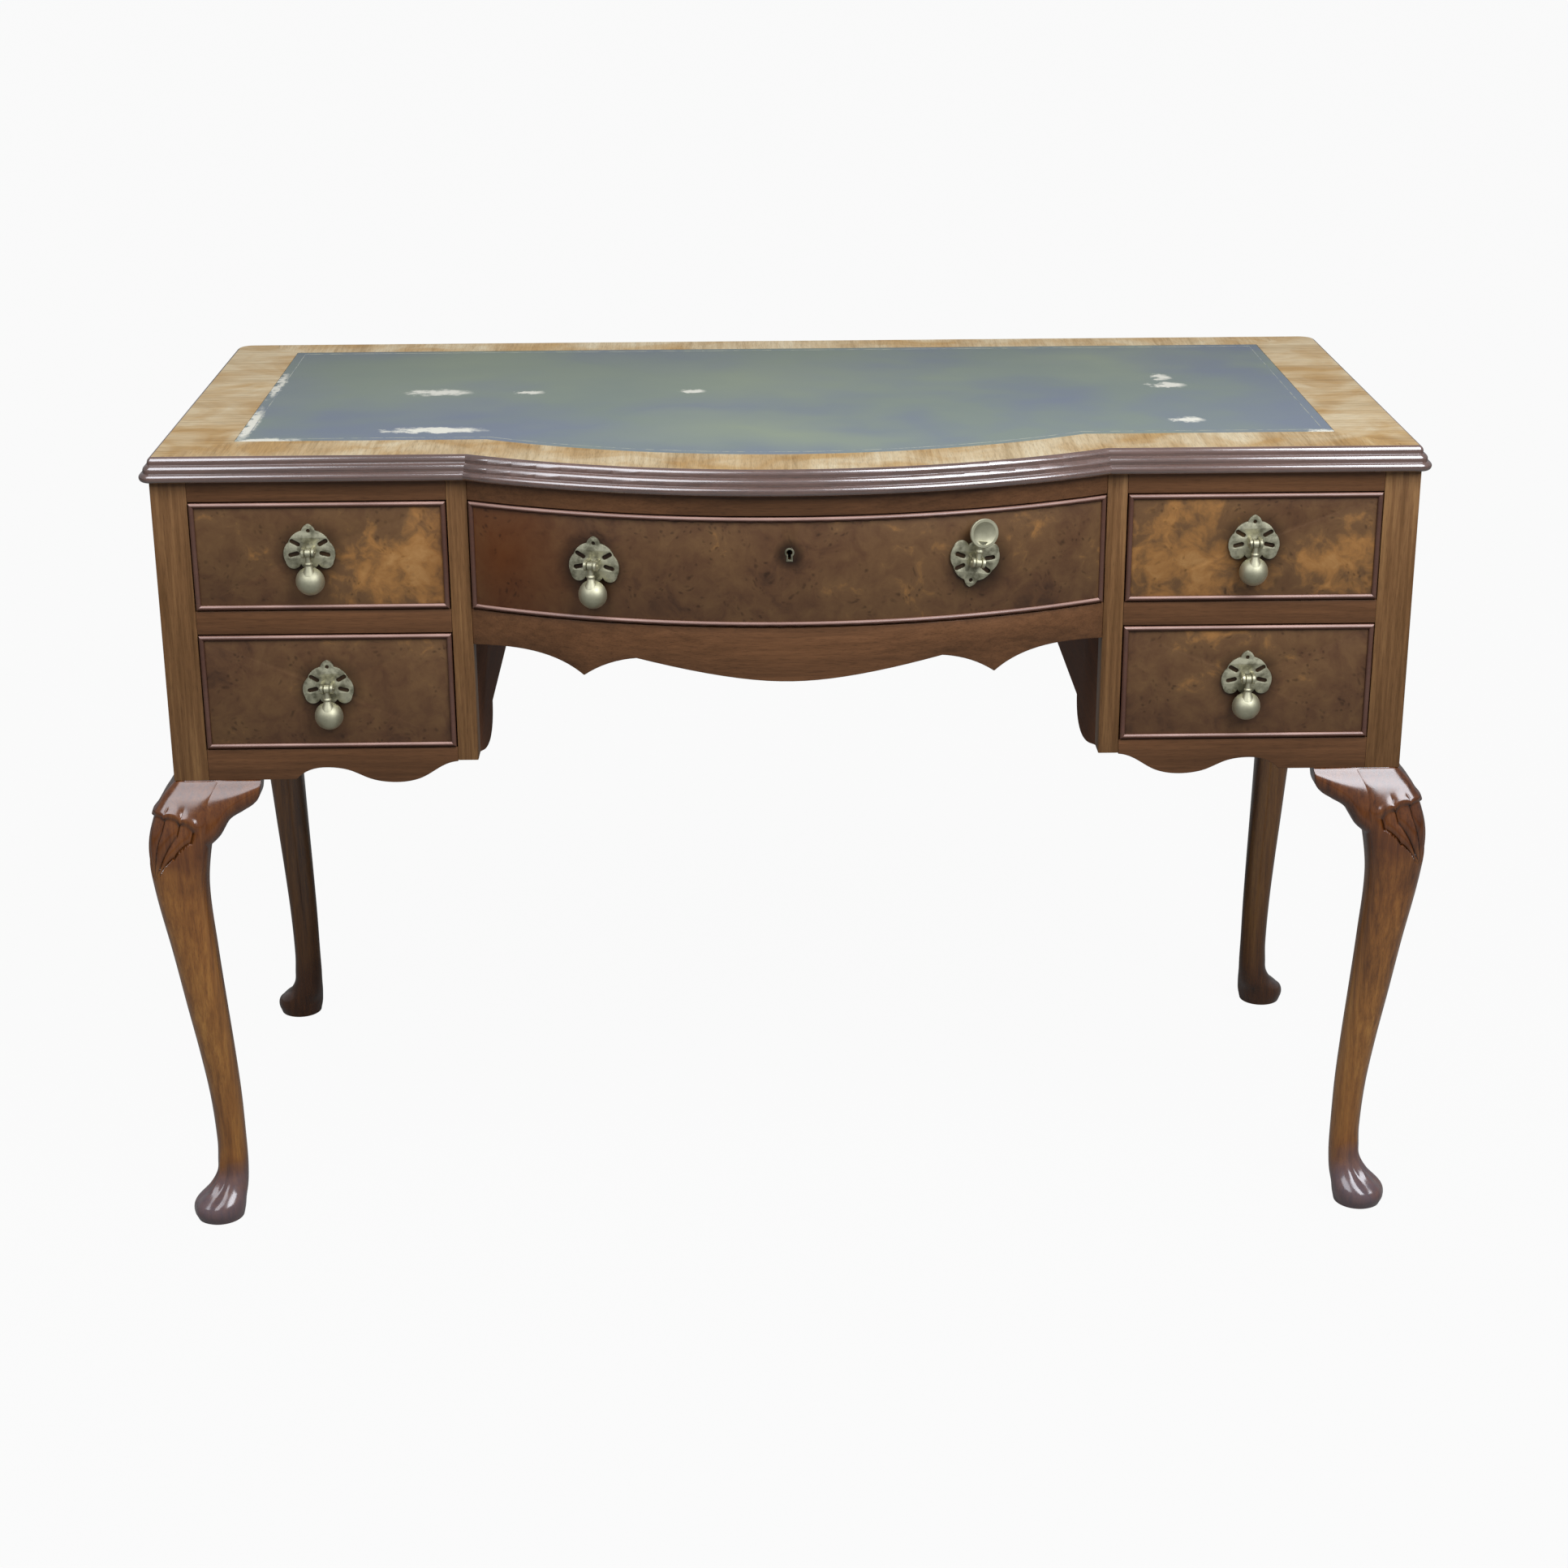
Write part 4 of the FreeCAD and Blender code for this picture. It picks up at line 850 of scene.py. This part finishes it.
def cheek(shape, x0, x1):
    """Ear of the yoke that holds the cross pin, rounded at its end and eased at its edges."""
    radius = 0.0044
    root = -plate_thickness + 0.0003
    middle_y = -0.0065
    ease = 0.0005
    profile = [(root, -radius)]
    profile += [(-pivot_out - radius * math.cos(math.radians(a)), radius * math.sin(math.radians(a)))
                for a in range(-90, 91, 12)]
    profile.append((root, radius))
    rings = []
    for x, shrink in ((x0, 0.88), (x0 + ease, 1.0), (x1 - ease, 1.0), (x1, 0.88)):
        rings.append([(x, middle_y + (y - middle_y) * shrink, z * shrink) for y, z in profile])
    skin(shape, rings)


def handle_fixture(sizes, front_depth):
    """Plate with its yoke, cross pin, post and nut, about the post on the drawer's face."""
    shape = bmesh.new()
    plate = pierced_plate(sizes.plate_bevel)
    shape.from_mesh(plate)
    bpy.data.meshes.remove(plate)
    cheek(shape, 0.0029, 0.0061)
    cheek(shape, -0.0061, -0.0029)
    pin = ((-0.0070, 0.0008), (-0.0066, 0.0015), (0.0066, 0.0015), (0.0070, 0.0008))
    turned(shape, "X", (0, -pivot_out, 0), pin, 16)
    end = front_depth + 0.0055
    turned(shape, "Y", (0, 0, 0), ((-0.0010, 0.0025), (end - 0.0006, 0.0025), (end, 0.0018)), 16)
    nut = ((0, 0.0069), (0.0028, 0.0070), (0.0035, 0.0063))
    turned(shape, "Y", (0, front_depth, 0), nut, 4)
    return to_mesh(shape, "handle_fixture", 30)


def drop_mesh():
    """Pear drop hanging from its pivot at the origin, with a flat dished back, front towards -Y."""
    shape = bmesh.new()
    eye = ((-0.0025, 0.0033), (-0.0021, 0.0038), (0.0021, 0.0038), (0.0025, 0.0033))
    turned(shape, "X", (0, 0, 0), eye)
    neck = ((-0.0015, 0.0025), (-0.0055, 0.0024), (-0.0085, 0.0027), (-0.0096, 0.0036), (-0.0106, 0.0036),
            (-0.0117, 0.0031), (-0.0145, 0.0040), (-0.0172, 0.0053), (-0.0200, 0.0065))
    turned(shape, "Z", (0, 0.0002, 0), neck)
    radius = 0.013
    back = 0.0049
    ball = [(back - radius, 0.0004)]
    for k in range(1, 17):
        bend = math.pi / 2 * k / 16
        ball.append((back - radius * math.cos(bend), radius * math.sin(bend)))
    ball += [(back + 0.0004, radius - 0.0004), (back + 0.0004, radius - 0.0026), (back, radius - 0.0031),
             (back - 0.0008, 0.0060), (back - 0.0012, 0.0015)]
    turned(shape, "Y", (0, 0, -0.027), ball, 48)
    return to_mesh(shape, "pear_drop", 32)


def hinge_frame(joint):
    """Place of a drop's pivot, turned to its own drawer face; the turned handle keeps its lean."""
    across = Vector(joint["axis"]).normalized()
    if across.x < 0:
        across = -across
    bearing = math.atan2(across.y, across.x)
    inward = Vector((-math.sin(bearing), math.cos(bearing), 0))
    up = across.cross(inward)
    pose = Matrix((across, inward, up)).transposed().to_4x4()
    pose.translation = Vector(joint["pos_m"])
    return pose


# Geometry Nodes

def node_tree(name, sockets):
    """Empty geometry tree with named inputs; returns it with its input and output nodes."""
    tree = bpy.data.node_groups.new(name, "GeometryNodeTree")
    tree.interface.new_socket("Geometry", in_out="INPUT", socket_type="NodeSocketGeometry")
    tree.interface.new_socket("Geometry", in_out="OUTPUT", socket_type="NodeSocketGeometry")
    for label, kind in sockets:
        tree.interface.new_socket(label, in_out="INPUT", socket_type=kind)
    return tree, add(tree, "NodeGroupInput"), add(tree, "NodeGroupOutput")


def close_tree(tree, geometry, material, outcome):
    """Ends a tree in Realize Instances and Set Material."""
    real = add(tree, "GeometryNodeRealizeInstances", {0: geometry})
    painted = add(tree, "GeometryNodeSetMaterial", {"Geometry": real, "Material": material})
    tree.links.new(painted.outputs[0], outcome.inputs[0])


def tooled_line_tree():
    """Round line pressed along a path."""
    sockets = (("Radius", "NodeSocketFloat"), ("Material", "NodeSocketMaterial"))
    tree, given, outcome = node_tree("Tooled line", sockets)
    tool = add(tree, "GeometryNodeCurvePrimitiveCircle",
               {"Resolution": 8, "Radius": given.outputs["Radius"]})
    line = add(tree, "GeometryNodeCurveToMesh", {"Curve": given.outputs[0], "Profile Curve": tool})
    close_tree(tree, line, given.outputs["Material"], outcome)
    return tree


def set_on_points_tree():
    """One shape set on every point, such as a screw head."""
    sockets = (("Shape", "NodeSocketObject"), ("Material", "NodeSocketMaterial"))
    tree, given, outcome = node_tree("Set on points", sockets)
    source = add(tree, "GeometryNodeObjectInfo", {"Object": given.outputs["Shape"]})
    seats = add(tree, "GeometryNodeInstanceOnPoints",
                {"Points": given.outputs[0], "Instance": source.outputs["Geometry"]})
    close_tree(tree, seats, given.outputs["Material"], outcome)
    return tree


def grown(holder, tree, values):
    """Plain mesh that a tree makes from an object, which is then removed."""
    modifier = holder.modifiers.new(tree.name, "NODES")
    modifier.node_group = tree
    for socket in tree.interface.items_tree:
        if socket.in_out == "INPUT" and socket.name in values:
            modifier[socket.identifier] = values[socket.name]
    return final_mesh(holder)


def leather_path(inset):
    """Line round the leather at one inset from its edge, following the bowed front."""
    left = leather_low.x + inset
    right = leather_high.x - inset
    back = leather_high.y - inset
    front = face_y + leather_margin + inset
    radius = bow_radius - leather_margin - inset
    sweep = math.acos((bow_centre_y - front) / radius)
    points = [(left, back), (left, front)]
    for k in range(61):
        turn = sweep * (k / 30 - 1)
        points.append((radius * math.sin(turn), bow_centre_y - radius * math.cos(turn)))
    return points + [(right, front), (right, back)]


def screw_head():
    """Slotted countersunk head, facing +Y, as a scratch object."""
    radius = 0.0030
    half_sweep = math.radians(77)
    levels = ((-0.0010, 0.7), (0.0002, 1.0), (0.0005, 0.96))
    shape = bmesh.new()
    for side in (-1, 1):
        half = []
        for k in range(13):
            a = half_sweep * (k / 6 - 1)
            half.append((side * radius * math.cos(a), radius * math.sin(a)))
        skin(shape, [[(x * share, y, z * share) for x, z in half] for y, share in levels])
    return linked("screw_head_pattern", to_mesh(shape, "screw_head_pattern", 30))


# Operators

class TABLE_OT_case(bpy.types.Operator):
    """Polished walnut case: posts, stiles, rails, aprons, panels and back"""

    bl_idname = "writing_table.case"
    bl_label = "Case"

    def execute(self, context):
        finishes = context.scene.table_finishes
        arris = context.scene.table_sizes.arris
        tones = (finishes.case_dark, finishes.case_mid, finishes.case_light)
        rails = shades(finishes.rail_tone, 0.6, 1.45)
        # Darker copy of the case walnut for the kneehole sides: painted shade, with a duller wax
        dull_and_shaded = shades(finishes.kneehole_shaded_tone, 0.6, 1.4)
        uprights = [f"{end}_{side}_post" for end in ("front", "rear") for side in ("left", "right")]
        uprights += ["left_inner_stile", "right_inner_stile"]
        levels = ["pedestal_rails", "centre_top_rail"]
        levels += ["left_apron", "right_apron", "centre_apron", "back_panel"]
        groups = (
            (polished_walnut("polished_walnut_upright", "Z", *tones), uprights),
            (polished_walnut("polished_walnut_level", "X", *rails), levels),
            (polished_walnut("polished_walnut_deep", "Y", *tones), ["left_side_panel", "right_side_panel"]),
            (polished_walnut("waxed_walnut_kneehole_painted_shade", "Y", *dull_and_shaded, gloss=0.6, shine=0.15),
             ["left_kneehole_panel", "right_kneehole_panel"]),
        )
        for material, nodes in groups:
            for node in nodes:
                softened(node, material, arris)
        return {"FINISHED"}


class TABLE_OT_inside(bpy.types.Operator):
    """Plain wood inside the case and the drawers"""

    bl_idname = "writing_table.inside"
    bl_label = "Inside woodwork"

    def execute(self, context):
        material = plain_lining(context.scene.table_finishes)
        arris = context.scene.table_sizes.arris
        nodes = ["pedestal_bottoms", "drawer_runners", "drawer_stops", "kicker_strips"]
        nodes += [name + "_drawer_lining" for name in ("centre",) + side_drawers]
        for node in nodes:
            softened(node, material, arris)
        return {"FINISHED"}


class TABLE_OT_top(bpy.types.Operator):
    """Crossbanded top and its edge mouldings"""

    bl_idname = "writing_table.top"
    bl_label = "Top and mouldings"

    def execute(self, context):
        finishes = context.scene.table_finishes
        member = context.scene.table_sizes.member
        softened("top_panel", faded_crossband(finishes), arris=0)
        tones = shades(finishes.moulding_tone, 0.6, 1.5)
        runs = (
            ("polished_moulding_level", "X", ("front_moulding", "back_moulding")),
            ("polished_moulding_deep", "Y", ("left_side_moulding", "right_side_moulding")),
        )
        for name, grain, nodes in runs:
            material = polished_walnut(name, grain, *tones, gloss=0.20, shine=0.8, coat=1.0, coat_ior=2.0)
            for node in nodes:
                softened(node, material, member, degrees=28)
        return {"FINISHED"}


class TABLE_OT_leather(bpy.types.Operator):
    """Leather inset with its tooled line"""

    bl_idname = "writing_table.leather"
    bl_label = "Leather"

    def execute(self, context):
        finishes = context.scene.table_finishes
        sizes = context.scene.table_sizes
        cut_edge = 0.0005
        softened("leather_inset", worn_leather(finishes), cut_edge)
        path = bpy.data.curves.new("tooled_path", "CURVE")
        path.dimensions = "3D"
        closed_spline(path, leather_path(sizes.line_inset), leather_high.z - sizes.line_sink)
        gilding = faded_gilding(finishes)
        values = {"Radius": sizes.line_radius, "Material": gilding}
        mesh = grown(linked("tooled_path", path), tooled_line_tree(), values)
        place_piece("tooled_line", smooth(mesh, 60), gilding, "carcass")
        return {"FINISHED"}


class TABLE_OT_legs(bpy.types.Operator):
    """Cabriole legs with carved knees, and their brackets"""

    bl_idname = "writing_table.legs"
    bl_label = "Legs"

    def execute(self, context):
        sizes = context.scene.table_sizes
        finishes = context.scene.table_finishes
        polished = carved_leg_walnut("polished_leg_walnut", finishes, share=1.0, bloom=0.6)
        # Darker copy of the leg finish for the rear legs: painted shade under the table
        shaded_rear_legs = carved_leg_walnut("rear_leg_walnut_painted_shade", finishes, share=0.42, bloom=0.0)
        front = leg_columns(reaches=(0.024, 0.001, 0.015), widths=(0.059, 0.028, 0.050))
        rear = leg_columns(reaches=(0.006, -0.0095, 0.004), widths=(0.048, 0.028, 0.049))
        kinds = (
            ("front_", "_leg_carved", -1, front, True, polished),
            ("rear_", "_leg_shaped", 1, rear, False, shaded_rear_legs),
        )
        for side_name, side in (("left", -1), ("right", 1)):
            for start, ending, end, columns, carved, material in kinds:
                name = start + side_name + ending
                mesh = leg_mesh(name, side, end, columns, sizes, carved)
                place_piece(name, mesh, material, "carcass", [start + side_name + "_leg"])
        mesh = knee_brackets_mesh(front, rear)
        place_piece("knee_brackets_carved", mesh, polished, "carcass", ["knee_brackets"])
        return {"FINISHED"}


class TABLE_OT_drawers(bpy.types.Operator):
    """Burr walnut drawer fronts and their cock beads"""

    bl_idname = "writing_table.drawers"
    bl_label = "Drawer fronts"

    def execute(self, context):
        finishes = context.scene.table_finishes
        burr = burr_veneer(finishes)
        bead = highlighted_bead(finishes)
        veneer_edge = 0.0004
        for name in side_drawers + ("centre",):
            softened(name + "_drawer_front", burr, veneer_edge)
            softened(name + "_cock_beads", bead, arris=0, degrees=40)
        return {"FINISHED"}


class TABLE_OT_handles(bpy.types.Operator):
    """Pierced brass plates and their pear drops"""

    bl_idname = "writing_table.handles"
    bl_label = "Handles"

    def execute(self, context):
        sizes = context.scene.table_sizes
        finishes = context.scene.table_finishes
        dark = finishes.brass_dark
        light = finishes.brass_light
        brass = cast_metal("aged_cast_brass", dark, light, rough=0.44)
        # Hands keep the drops brighter and more even than the plates
        low, high = [tuple(mix(*tone, share) for tone in zip(dark, light)) for share in (0.45, 0.82)]
        handled = cast_metal("handled_cast_brass", low, high, rough=0.48, patch=0.020)
        joints = {joint["name"]: joint for joint in frame["joints"]}
        to_face = Matrix.Translation((0, pivot_out, 0))
        half_turn = Matrix.Rotation(math.pi, 4, "Y")
        raised = Matrix.Rotation(math.radians(-185), 4, "X")
        centre_plates = bmesh.new()
        for name in side_drawers + ("centre_left", "centre_right"):
            on_side = name in side_drawers
            reversed_handle = name == "centre_right"
            pose = hinge_frame(joints[name + "_drop_swing"])
            drop = drop_mesh()
            drop.transform(pose @ raised if reversed_handle else pose)
            place_piece(name + "_pear_drop", drop, handled, name + "_drop", [name + "_drop"])
            fixture = handle_fixture(sizes, side_front_depth if on_side else centre_front_depth)
            seat = pose @ to_face
            fixture.transform(seat @ half_turn if reversed_handle else seat)
            if on_side:
                place_piece(name + "_pierced_plate", fixture, brass, name + "_drawer",
                            [name + "_handle_plate"])
            else:
                centre_plates.from_mesh(fixture)
                bpy.data.meshes.remove(fixture)
        mesh = to_mesh(centre_plates, "centre_pierced_plates", 30)
        place_piece("centre_pierced_plates", mesh, brass, "centre_drawer",
                    ["centre_handle_plates"])
        return {"FINISHED"}


class TABLE_OT_lock(bpy.types.Operator):
    """Drawer lock with its screws and bolt, and the keyhole liner"""

    bl_idname = "writing_table.lock"
    bl_label = "Lock"

    def execute(self, context):
        finishes = context.scene.table_finishes
        tones = (finishes.brass_dark, finishes.brass_light)
        brass = cast_metal("drawn_lock_brass", *tones, rough=0.30, patch=0.02)
        steel = cast_metal("filed_lock_steel", linear("#4c4a47"), linear("#8d8a84"), rough=0.32, patch=0.012)
        filed_edge = 0.0004
        softened("lock_case", brass, filed_edge)
        softened("keyhole_liner", brass, filed_edge / 2)
        softened("lock_bolt", steel, filed_edge)
        low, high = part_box("lock_case")
        inset = 0.0055
        seats = bpy.data.meshes.new("screw_seats")
        points = [(x, high.y, z) for x in (low.x + inset, high.x - inset)
                  for z in (low.z + inset, high.z - inset)]
        seats.from_pydata(points, [], [])
        pattern = screw_head()
        values = {"Shape": pattern, "Material": steel}
        mesh = grown(linked("screw_seats", seats), set_on_points_tree(), values)
        bpy.data.objects.remove(pattern)
        place_piece("lock_screws", smooth(mesh, 30), steel, "centre_drawer")
        return {"FINISHED"}


class TABLE_OT_stage(bpy.types.Operator):
    """Plain floor, soft studio light and the camera"""

    bl_idname = "writing_table.stage"
    bl_label = "Stage"

    def execute(self, context):
        stage = context.scene.table_stage
        context.scene.view_settings.view_transform = "Standard"
        self.build_floor(stage)
        self.build_world(context, stage)
        self.build_lamps(stage)
        self.build_camera(context, stage)
        return {"FINISHED"}

    def build_floor(self, stage):
        """Matt floor, near white to the camera, that keeps the table's soft shadow."""
        material = bpy.data.materials.new("matt_pale_floor")
        tree = emptied(material)
        seen = add(tree, "ShaderNodeLightPath").outputs["Is Camera Ray"]
        matt = add(tree, "ShaderNodeBsdfDiffuse", {"Color": stage.floor_tone})
        white = add(tree, "ShaderNodeEmission", {"Color": grey(1.0), "Strength": 1.0})
        share = add(tree, "ShaderNodeMath", {0: seen, 1: stage.floor_glow}, operation="MULTIPLY")
        both = add(tree, "ShaderNodeMixShader", {0: share, 1: matt, 2: white})
        add(tree, "ShaderNodeOutputMaterial", {"Surface": both})
        shape = bmesh.new()
        bmesh.ops.create_grid(shape, x_segments=8, y_segments=8, size=40.0)
        mesh = poured(shape, "studio_floor")
        mesh.materials.append(material)
        linked("studio_floor", mesh)

    def build_world(self, context, stage):
        """Even soft light from all round, white to the camera."""
        world = bpy.data.worlds.new("soft_studio")
        tree = emptied(world)
        light = add(tree, "ShaderNodeBackground", {"Color": stage.sky_tone, "Strength": stage.sky_strength})
        white = add(tree, "ShaderNodeBackground", {"Color": grey(1.0), "Strength": 1.0})
        seen = add(tree, "ShaderNodeLightPath").outputs["Is Camera Ray"]
        both = add(tree, "ShaderNodeMixShader", {0: seen, 1: light, 2: white})
        add(tree, "ShaderNodeOutputWorld", {"Surface": both})
        context.scene.world = world

    def build_lamps(self, stage):
        """Two broad soft panels in front, left and right of the camera and above it."""
        lit_point = Vector((0, -0.1, 0.55))
        lamps = (
            ("left_lamp", (-1.40, -1.90, 2.90), stage.left_power, 1.7, 2.2),
            ("right_lamp", (1.45, -1.90, 2.90), stage.right_power, 1.6, 2.2),
        )
        for name, place, power, wide, high in lamps:
            lamp = bpy.data.lights.new(name, "AREA")
            lamp.shape = "RECTANGLE"
            lamp.size = wide
            lamp.size_y = high
            lamp.energy = power
            lamp.color = tuple(stage.sky_tone)[:3]
            holder = linked(name, lamp)
            holder.location = place
            holder.rotation_euler = (lit_point - Vector(place)).to_track_quat("-Z", "Y").to_euler()

    def build_camera(self, context, stage):
        """Camera at the height and turn from which the table is usually shown."""
        yaw = stage.camera_yaw
        pitch = stage.camera_pitch
        roll = stage.camera_roll
        ahead = Vector((-math.sin(yaw) * math.cos(pitch), math.cos(yaw) * math.cos(pitch), -math.sin(pitch)))
        right = Vector((math.cos(yaw), math.sin(yaw), 0))
        down = ahead.cross(right)
        lean_right = math.cos(roll) * right + math.sin(roll) * down
        lean_down = math.cos(roll) * down - math.sin(roll) * right
        lens = bpy.data.cameras.new("table_camera")
        lens.sensor_fit = "HORIZONTAL"
        lens.sensor_width = 36
        lens.lens = stage.lens
        lens.dof.use_dof = False
        pose = Matrix((lean_right, -lean_down, -ahead)).transposed().to_4x4()
        pose.translation = Vector(stage.camera_place)
        camera = linked("table_camera", lens)
        camera.matrix_world = pose
        context.scene.camera = camera


class TABLE_PT_panel(bpy.types.Panel):
    """Lists the pieces of the writing table"""

    bl_idname = "TABLE_PT_panel"
    bl_label = "Writing table"
    bl_space_type = "VIEW_3D"
    bl_region_type = "UI"
    bl_category = "Writing table"

    def draw(self, context):
        for operator in piece_operators:
            self.layout.operator(operator.bl_idname)


piece_operators = (TABLE_OT_case, TABLE_OT_inside, TABLE_OT_top, TABLE_OT_leather, TABLE_OT_legs,
                   TABLE_OT_drawers, TABLE_OT_handles, TABLE_OT_lock, TABLE_OT_stage)
scene_groups = {"table_sizes": TableSizes, "table_finishes": TableFinishes, "table_stage": StageSettings}


def register():
    for group in scene_groups.values():
        bpy.utils.register_class(group)
    for name, group in scene_groups.items():
        setattr(bpy.types.Scene, name, bpy.props.PointerProperty(type=group))
    for operator in piece_operators:
        bpy.utils.register_class(operator)
    bpy.utils.register_class(TABLE_PT_panel)


def unregister():
    bpy.utils.unregister_class(TABLE_PT_panel)
    for operator in reversed(piece_operators):
        bpy.utils.unregister_class(operator)
    for name, group in scene_groups.items():
        delattr(bpy.types.Scene, name)
        bpy.utils.unregister_class(group)


def main():
    register()
    bpy.ops.writing_table.case()
    bpy.ops.writing_table.inside()
    bpy.ops.writing_table.top()
    bpy.ops.writing_table.leather()
    bpy.ops.writing_table.legs()
    bpy.ops.writing_table.drawers()
    bpy.ops.writing_table.handles()
    bpy.ops.writing_table.lock()
    bpy.ops.writing_table.stage()


if __name__ == "__main__":
    main()
